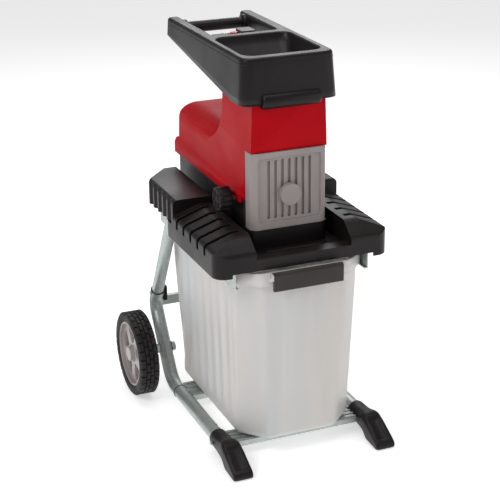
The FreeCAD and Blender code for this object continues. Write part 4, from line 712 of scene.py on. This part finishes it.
def makeTyre(side, body):
    low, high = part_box(f"{side}_tyre")
    inner, outer = low.x, high.x
    width, radius = outer - inner, (high.z - low.z) / 2
    centre = ((low.y + high.y) / 2, (low.z + high.z) / 2)
    bore = tyreLook["bore"]
    base = radius - tyreLook["tread"]
    half = [
        (0.002, bore), (0.002, bore + 0.004), (0.0006, bore + 0.006), (0.0, bore + 0.009),
        (0.0, base - 0.006), (0.0015, base - 0.002), (0.006, base),
    ]
    profile = [(inner + x, r) for x, r in half] + [(outer - x, r) for x, r in reversed(half)]
    build = bmesh.new()
    spinProfile(build, centre, profile, tyreLook["around"], closed=True)
    pitch = math.tau / tyreLook["blocksAround"]
    for row, (start, end) in enumerate(tyreLook["rows"]):
        first, last = inner + width * start, inner + width * end
        taper, shoulder = tyreLook["taper"], tyreLook["shoulder"]
        outline = [
            (first, base - 0.001), (first + taper, radius - 0.0003), (last - taper, radius - 0.0003),
            (last, base - 0.001),
        ]
        if row == 0:
            outline[:2] = [(first + 0.0003, base - 0.007), (first + 0.0008, radius - shoulder),
                           (first + shoulder, radius)]
        if row == len(tyreLook["rows"]) - 1:
            outline[2:] = [(last - shoulder, radius), (last - 0.0008, radius - shoulder),
                           (last - 0.0003, base - 0.007)]
        for number in range(tyreLook["blocksAround"]):
            begin = (number + 0.5 * (row % 2)) * pitch
            sweep = pitch * (1 - tyreLook["blockGap"])
            rings = []
            for step in range(4):
                angle = begin + sweep * step / 3
                rings.append([spinPoint(centre, x, r, angle) for x, r in outline])
            bridgeRings(build, rings, capStart=True, capEnd=True)
    finishPiece(f"{side}Tyre", build, "tyre_rubber", body, (f"{side}_tyre",), smoothAngle=40)


for side in ("left", "right"):
    makeTyre(side, f"{side}_wheel")
print("tyres made")


# adjusting knob


knobLook = {
    "flutes": 10,
    "fluteDepth": 0.003,
    "around": 160,
    "arms": 5,
    "armWidth": 0.004,
}


def makeKnob():
    low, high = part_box("adjusting_knob")
    face, back, radius = low.x, high.x, (high.z - low.z) / 2
    centre = ((low.y + high.y) / 2, (low.z + high.z) / 2)
    profile = [  # distance from the face, radius, share of the flutes
        (back - face, 0.0085, 0), (back - face - 0.003, 0.0088, 0),
        (back - face - 0.003, radius - 0.004, 0.3),
        (back - face - 0.0045, radius - 0.0015, 0.9), (back - face - 0.006, radius - 0.0004, 1),
        (0.005, radius - 0.0004, 1), (0.002, radius - 0.0015, 0.8), (0.0005, radius - 0.004, 0.35),
        (0.0, radius - 0.006, 0), (0.0004, radius - 0.008, 0), (0.003, radius - 0.009, 0),
        (0.003, 0.0095, 0),
        (0.0012, 0.008, 0), (0.0006, 0.006, 0), (0.0004, 0.0001, 0),
    ]
    build = bmesh.new()
    rings = []
    for inset, r, share in profile:
        ring = []
        for step in range(knobLook["around"]):
            angle = math.tau * step / knobLook["around"]
            scallop = max(0.0, math.cos(angle * knobLook["flutes"])) ** 1.5
            bite = knobLook["fluteDepth"] * share * scallop
            ring.append(spinPoint(centre, face + inset, r - bite, angle))
        rings.append(ring)
    bridgeRings(build, rings, capStart=True)
    finishPiece("adjustingKnob", build, "black_plastic", "knob", ("adjusting_knob",), smoothAngle=40)
    star = bmesh.new()
    for arm in range(knobLook["arms"]):
        turn = Matrix.Rotation(math.tau * (arm + 0.5) / knobLook["arms"], 3, "X")
        outline = [(0.006, -knobLook["armWidth"] / 2), (radius - 0.0085, -knobLook["armWidth"] / 3),
                   (radius - 0.0085, knobLook["armWidth"] / 3), (0.006, knobLook["armWidth"] / 2)]
        rings = []
        for depth, shrink in ((0.0032, 1), (0.0014, 1), (0.0008, 0.6)):
            ring = []
            for out, across in outline:
                spot = turn @ Vector((0, out, across * shrink))
                ring.append(Vector((face + depth, centre[0] + spot.y, centre[1] + spot.z)))
            rings.append(ring)
        bridgeRings(star, rings, capStart=True, capEnd=True)
    finishPiece("knobStar", star, "black_plastic", "knob")


makeKnob()
print("knob made")


# front feet


footLook = {
    "x": 0.184,
    "stations": [  # y, top, bottom, half width, squareness of the section
        (-0.162, 0.0540, 0.0110, 0.0212, 2.0), (-0.165, 0.0550, 0.0100, 0.0225, 2.0),
        (-0.205, 0.0560, 0.0095, 0.0226, 2.2), (-0.222, 0.0585, 0.0095, 0.0232, 2.6),
        (-0.236, 0.0612, 0.0100, 0.0240, 3.2), (-0.245, 0.0600, 0.0105, 0.0245, 3.8),
        (-0.254, 0.0555, 0.0070, 0.0248, 4.6), (-0.263, 0.0505, 0.0012, 0.0250, 5.6),
        (-0.270, 0.0468, 0.0000, 0.0250, 6.4), (-0.315, 0.0222, 0.0000, 0.0250, 7.0),
        (-0.323, 0.0176, 0.0004, 0.0248, 6.0), (-0.3268, 0.0146, 0.0016, 0.0240, 5.0),
        (-0.328, 0.0110, 0.0035, 0.0225, 4.0),
    ],
    "spacing": 0.0022,
    "around": 72,
    "panelHalf": 0.0145, "panelRear": -0.256, "panelFront": -0.316, "panelDepth": 0.0035,
    "panelEdge": 0.002,
}


def footStation(y):
    rows = footLook["stations"]
    for here, there in zip(rows, rows[1:]):
        if there[0] <= y <= here[0]:
            share = (here[0] - y) / (here[0] - there[0])
            return [a + (b - a) * share for a, b in zip(here[1:], there[1:])]
    return list(rows[-1][1:])


def makeFoot(side, centreX):
    build = bmesh.new()
    start, end = footLook["stations"][0][0], footLook["stations"][-1][0]
    count = int((start - end) / footLook["spacing"])
    rings = []
    for step in range(count + 1):
        y = start + (end - start) * step / count
        top, bottom, half, square = footStation(y)
        ring = []
        for turn in range(footLook["around"]):
            angle = math.tau * turn / footLook["around"]
            power = 2 / square
            across = half * math.copysign(abs(math.cos(angle)) ** power, math.cos(angle))
            rise = math.copysign(abs(math.sin(angle)) ** power, math.sin(angle))
            z = (top + bottom) / 2 + (top - bottom) / 2 * rise
            edge = footLook["panelEdge"]
            inside = (1 - fade(abs(across), footLook["panelHalf"] - edge, footLook["panelHalf"]))
            inside *= fade(-y, -footLook["panelRear"], -footLook["panelRear"] + 2 * edge)
            inside *= 1 - fade(-y, -footLook["panelFront"] - 2 * edge, -footLook["panelFront"])
            if rise > 0.5:
                z -= footLook["panelDepth"] * inside
            ring.append(Vector((centreX + across, y, z)))
        rings.append(ring)
    bridgeRings(build, rings, capStart=True, capEnd=True)
    finishPiece(f"{side}Foot", build, "black_plastic", "body", ("front_feet",), smoothAngle=50)


for side, sign in (("left", -1), ("right", 1)):
    makeFoot(side, sign * footLook["x"])
print("feet made")


# tube frame details


def tubeCurve(name, points, radius, slot, body, cyclic=False):
    curve = bpy.data.curves.new(name, "CURVE")
    curve.dimensions = "3D"
    curve.bevel_depth = radius
    curve.bevel_resolution = 3
    spline = curve.splines.new("POLY")
    spline.points.add(len(points) - 1)
    for target, point in zip(spline.points, points):
        target.co = (*point, 1)
    spline.use_cyclic_u = cyclic
    curve.use_fill_caps = True
    curve.materials.append(finishes[slot])
    piece = bpy.data.objects.new(name, curve)
    bpy.context.scene.collection.objects.link(piece)
    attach(piece, body)
    return piece


railLook = {
    "x": 0.184, "radius": 0.0175,
    "path": ((-0.205, 0.032, 0), (0.160, 0.032, 0.070), (0.281, 0.211, 0.045), (0.257, 0.2545, 0)),
    "seamY": 0.10,
    "ridgeTurns": (15, 47, 79),  # degrees round the tube from its upper side
    "ridge": 0.0016,
    "ridgeSink": 0.0006,
    "seamRadius": 0.0011, "collarRadius": 0.0014,
    "stopRear": 0.254, "stopFront": 0.268, "stopLow": 0.222, "stopHigh": 0.262,
    "rivetPlaces": (-0.146, -0.126, 0.068), "rivetLean": 32, "rivetSteps": 16,
}


def openPath(corners, steps=8):  # an open path whose inner corners are rounded
    points = [Vector(corners[0][:2])]
    for before, corner, after in zip(corners, corners[1:], corners[2:]):
        points += bendPoints(before, corner, after, steps)
    return points + [Vector(corners[-1][:2])]


def offsetPath(points, amount):  # beside the path, towards its upper side
    moved = []
    for index, point in enumerate(points):
        before, after = points[max(index - 1, 0)], points[min(index + 1, len(points) - 1)]
        heading = (after - before).normalized()
        moved.append(point + Vector((-heading.y, heading.x)) * amount)
    return moved


def circleRound(centre, heading, radius, steps=48):
    heading = Vector(heading).normalized()
    first = heading.orthogonal().normalized()
    second = heading.cross(first)
    turns = [math.tau * step / steps for step in range(steps)]
    return [Vector(centre) + (first * math.cos(turn) + second * math.sin(turn)) * radius for turn in turns]


def makeRailDetails():
    corners = railLook["path"]
    rear = openPath([(railLook["seamY"], corners[1][1], 0), *corners[1:]], steps=10)
    top = corners[-1]
    knee = Vector((0, top[0] - corners[2][0], top[1] - corners[2][1])).normalized()
    for side, sign in (("left", -1), ("right", 1)):
        x = railLook["x"] * sign
        for number, turn in enumerate(railLook["ridgeTurns"]):
            reach = railLook["radius"] - railLook["ridgeSink"]
            angle = math.radians(turn)
            line = offsetPath(rear, reach * math.cos(angle))
            points = [(x + sign * reach * math.sin(angle), point.x, point.y) for point in line]
            tubeCurve(f"{side}RailRidge{number + 1}", points, railLook["ridge"], "galvanised_steel", "body")
        seam = circleRound((x, railLook["seamY"], corners[0][1]), (0, 1, 0), railLook["radius"] + 0.0002)
        tubeCurve(f"{side}RailSeam", seam, railLook["seamRadius"], "black_plastic", "body", cyclic=True)
        collar = circleRound((x, top[0], top[1]), knee, railLook["radius"] - 0.0006)
        tubeCurve(f"{side}KneeCollar", collar, railLook["collarRadius"], "black_plastic", "body",
                  cyclic=True)
        build = bmesh.new()
        inner = x - sign * railLook["radius"]
        left, right = sorted((inner + sign * 0.002, inner - sign * 0.008))
        softBlock(build, (left, railLook["stopRear"], railLook["stopLow"]),
                  (right, railLook["stopFront"], railLook["stopHigh"]), 0.002)
        finishPiece(f"{side}KneeStop", build, "black_plastic", "body")


def makeRivets():
    build = bmesh.new()
    for sign in (-1, 1):
        for y in railLook["rivetPlaces"]:
            lean = math.radians(railLook["rivetLean"]) * -sign
            middle = Vector((railLook["x"] * sign, y, railLook["path"][0][1]))
            outward = Vector((math.sin(lean), 0, math.cos(lean)))
            across = Vector((0, 1, 0))
            third = outward.cross(across)
            rings = []
            for height, radius in ((-0.001, 0.0042), (0.0006, 0.0042), (0.0014, 0.0034), (0.0018, 0.0016)):
                middlePoint = middle + outward * (railLook["radius"] + height)
                turns = [math.tau * step / railLook["rivetSteps"] for step in range(railLook["rivetSteps"])]
                rings.append([middlePoint + (across * math.cos(turn) + third * math.sin(turn)) * radius
                              for turn in turns])
            bridgeRings(build, rings, capEnd=True)
    finishPiece("railRivets", build, "zinc_steel", "body")


braceLook = {
    "ribs": 4, "ribWidth": 0.008, "ribHeight": 0.0022, "margin": 0.007, "ribHalf": 0.166,
    "spans": ((-0.214, -0.152), (0.054, 0.134)),  # front and rear of each brace
}


def makeBraceRibs():
    top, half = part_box("floor_braces")[1].z, braceLook["ribHalf"]
    build = bmesh.new()
    for front, rear in braceLook["spans"]:
        pitch = (rear - front - 2 * braceLook["margin"]) / (braceLook["ribs"] - 1)
        for number in range(braceLook["ribs"]):
            y = front + braceLook["margin"] + pitch * number
            softBlock(build, (-half, y - braceLook["ribWidth"] / 2, top - 0.001),
                      (half, y + braceLook["ribWidth"] / 2, top + braceLook["ribHeight"]), 0.0012)
    finishPiece("braceRibs", build, "galvanised_steel", "body")


makeRailDetails()
makeRivets()
makeBraceRibs()
print("frame details made")


# hopper


hopperLook = {
    "topHalf": 0.112, "lowHalf": 0.119, "topFront": -0.176, "lowFront": -0.182,
    "rear": 0.327, "armInner": 0.081, "cutFront": 0.084, "corner": 0.026, "smallCorner": 0.011,
    "low": 0.844, "armLow": 0.908, "slopeStart": -0.110,
    "edge": 0.008,
    "mouth": (0.094, -0.146, 0.054), "mouthCorner": 0.026, "lip": 0.006,
    "throat": (0.060, -0.118, -0.032), "throatCorner": 0.008, "throatTop": 0.862, "throatLow": 0.852,
    "wall": 0.0035,
    "spacing": 0.014,
    "wallSteps": 6, "edgeSteps": 7, "land": 0.001,  # land is the flat strip beside each rounded edge
    "lineDrop": 0.0145, "lineRadius": 0.0009, "lineRear": 0.29,
    "rollHalf": 0.071, "rollRadius": 0.0185, "rollRound": 0.006, "rollHeight": 0.851,
    "bossRadius": 0.020, "bossInner": 0.073, "bossOuter": 0.105,
}


def hopperOutline(half, front):
    rear, inner, cut = hopperLook["rear"], hopperLook["armInner"], hopperLook["cutFront"]
    wide, small = hopperLook["corner"], hopperLook["smallCorner"]
    return roundedOutline([
        (-half, front, wide), (half, front, wide), (half, rear, small), (inner, rear, small),
        (inner, cut, small), (-inner, cut, small), (-inner, rear, small), (-half, rear, small),
    ], steps=8)


def denser(points, counts):
    filled = []
    for index, count in enumerate(counts):
        start, end = points[index], points[(index + 1) % len(points)]
        filled += [start.lerp(end, step / count) for step in range(count)]
    return filled


def insetRing(points, amount):  # towards the left of the direction of travel
    moved = []
    for index, point in enumerate(points):
        heading = (points[(index + 1) % len(points)] - points[index - 1]).normalized()
        moved.append(point + Vector((-heading.y, heading.x)) * amount)
    return moved


def levelRing(points, level):
    return [Vector((*point, level)) for point in points]


def hopperOpening(name):
    half, front, rear = hopperLook[name]
    corner = hopperLook[name + "Corner"]
    return roundedOutline([(-half, front, corner), (half, front, corner), (half, rear, corner),
                           (-half, rear, corner)], steps=8)


def hopperUnderside(y):
    rise = (y - hopperLook["slopeStart"]) / (hopperLook["rear"] - hopperLook["slopeStart"])
    return hopperLook["low"] + (hopperLook["armLow"] - hopperLook["low"]) * max(rise, 0)


def makeHopper():
    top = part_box("hopper")[1].z
    edge, lip = hopperLook["edge"], hopperLook["lip"]
    upper = hopperOutline(hopperLook["topHalf"], hopperLook["topFront"])
    lower = hopperOutline(hopperLook["lowHalf"], hopperLook["lowFront"])
    counts = [max(1, round((upper[(i + 1) % len(upper)] - upper[i]).length / hopperLook["spacing"]))
              for i in range(len(upper))]
    upper, lower = denser(upper, counts), denser(lower, counts)
    rings = []
    for step in range(hopperLook["wallSteps"] + 1):
        ring = []
        for high, deep in zip(upper, lower):
            under = hopperUnderside(high.y)
            z = under + (top - edge - under) * step / hopperLook["wallSteps"]
            spot = high.lerp(deep, (top - z) / (top - hopperLook["low"]))
            ring.append(Vector((spot.x, spot.y, z)))
        rings.append(ring)
    shoulder = [Vector(point[:2]) for point in rings[-1]]
    land, bends = hopperLook["land"], hopperLook["edgeSteps"]
    for step in range(1, bends + 1):
        angle = math.pi / 2 * step / bends
        level = top - edge + edge * math.sin(angle)
        rings.append(levelRing(insetRing(shoulder, edge * (1 - math.cos(angle))), level))
    rings.append(levelRing(insetRing(shoulder, edge + land), top))
    build = bmesh.new()
    outer = bridgeRings(build, rings)[-1]
    mouth = hopperOpening("mouth")
    rings = [levelRing(insetRing(mouth, -lip - land), top)]
    for step in range(bends + 1):
        angle = math.pi / 2 * step / bends
        level = top - lip + lip * math.cos(angle)
        rings.append(levelRing(insetRing(mouth, -lip * (1 - math.sin(angle))), level))
    throat = hopperOpening("throat")
    for share in (0.2, 0.4, 0.6, 0.8, 1):
        level = top - lip + (hopperLook["throatTop"] - top + lip) * share
        rings.append(levelRing([a.lerp(b, share) for a, b in zip(mouth, throat)], level))
    rings.append(levelRing(throat, hopperLook["throatLow"]))
    inner = bridgeRings(build, rings)[0]
    border = []
    for row in (outer, inner):
        for index, vert in enumerate(row):
            border.append(build.edges.get((vert, row[(index + 1) % len(row)])))
    bmesh.ops.triangle_fill(build, use_beauty=True, edges=border, normal=(0, 0, 1))
    piece = finishPiece("hopperShell", build, "hopper_plastic", "body", ("hopper",), smoothAngle=42)
    thick = piece.modifiers.new("wallThickness", "SOLIDIFY")
    thick.thickness = hopperLook["wall"]
    thick.offset = -1
    lineZ = top - hopperLook["lineDrop"]
    share = hopperLook["lineDrop"] / (top - hopperLook["low"])
    halfHere = hopperLook["topHalf"] + (hopperLook["lowHalf"] - hopperLook["topHalf"]) * share
    frontHere = hopperLook["topFront"] + (hopperLook["lowFront"] - hopperLook["topFront"]) * share
    corner = hopperLook["corner"]
    rear = hopperLook["lineRear"]
    path = openPath([(-halfHere, rear, 0), (-halfHere, frontHere, corner), (halfHere, frontHere, corner),
                     (halfHere, rear, 0)])
    line = [(p.x, p.y, lineZ) for p in path]
    tubeCurve("hopperLine", line, hopperLook["lineRadius"], "hopper_plastic", "body")


def makeHopperRoll():
    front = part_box("hopper")[0].y
    radius, half, soft = hopperLook["rollRadius"], hopperLook["rollHalf"], hopperLook["rollRound"]
    centre = (front + radius, hopperLook["rollHeight"])
    profile = [(-half, 0.0005), (-half, radius - soft)]
    for step in range(1, 6):  # the rounded end
        angle = math.pi / 2 * step / 5
        profile.append((-half + soft * (1 - math.cos(angle)), radius - soft + soft * math.sin(angle)))
    profile += [(-x, r) for x, r in reversed(profile)]
    build = bmesh.new()
    spinProfile(build, centre, profile, 64, closed=False)
    finishPiece("hopperRoll", build, "hopper_plastic", "body", smoothAngle=50)


def makeBarBosses():
    low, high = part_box("handle_bar")
    centre = ((low.y + high.y) / 2, (low.z + high.z) / 2)
    radius, inner = hopperLook["bossRadius"], hopperLook["bossInner"]
    outer, hole = hopperLook["bossOuter"], (high.z - low.z) / 2
    for side, sign in (("left", -1), ("right", 1)):
        profile = [(outer, hole), (inner + 0.001, hole), (inner, hole + 0.001), (inner, radius - 0.002),
                   (inner + 0.0006, radius - 0.0006), (inner + 0.002, radius), (outer, radius)]
        build = bmesh.new()
        spinProfile(build, centre, [(x * sign, r) for x, r in profile], 48, closed=False)
        finishPiece(f"{side}BarBoss", build, "hopper_plastic", "body", smoothAngle=50)


makeHopper()
makeHopperRoll()
makeBarBosses()
print("hopper made")


# red cover, with the draft of its mould


coverLook = {"draftFrom": 0.640, "draft": 0.082}  # share of the width lost at the top of the tower


def makeCover():
    source = nodes["upper_cover"]
    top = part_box("upper_cover")[1].z
    build = bmesh.new()
    build.from_mesh(source.data)
    bmesh.ops.remove_doubles(build, verts=build.verts, dist=0.00001)
    for vert in build.verts:
        rise = max(vert.co.z - coverLook["draftFrom"], 0) / (top - coverLook["draftFrom"])
        vert.co.x *= 1 - coverLook["draft"] * rise
    piece = finishPiece("redCover", build, "red_plastic", "body", ("upper_cover",), smoothAngle=28)
    even = piece.modifiers.new("evenShading", "WEIGHTED_NORMAL")
    even.keep_sharp = True
    even.weight = 100


grilleLook = {
    "slotCount": 7, "pitch": 0.017, "slotWidth": 0.0075, "low": 0.569, "high": 0.712,
    "depth": 0.009, "thickness": 0.002, "rounding": 0.0008,
}


def makeGrilleBack():  # a dull plate behind the slots, so each reads as a deep groove
    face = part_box("front_grille")[0].y + grilleLook["depth"]
    build = bmesh.new()
    reach = grilleLook["pitch"] * (grilleLook["slotCount"] - 1) / 2 + grilleLook["slotWidth"]
    softBlock(build, Vector((-reach, face, grilleLook["low"])),
              Vector((reach, face + grilleLook["thickness"], grilleLook["high"])), grilleLook["rounding"])
    finishPiece("grilleBack", build, "grey_plastic", "body")


makeCover()
makeGrilleBack()
print("cover made")
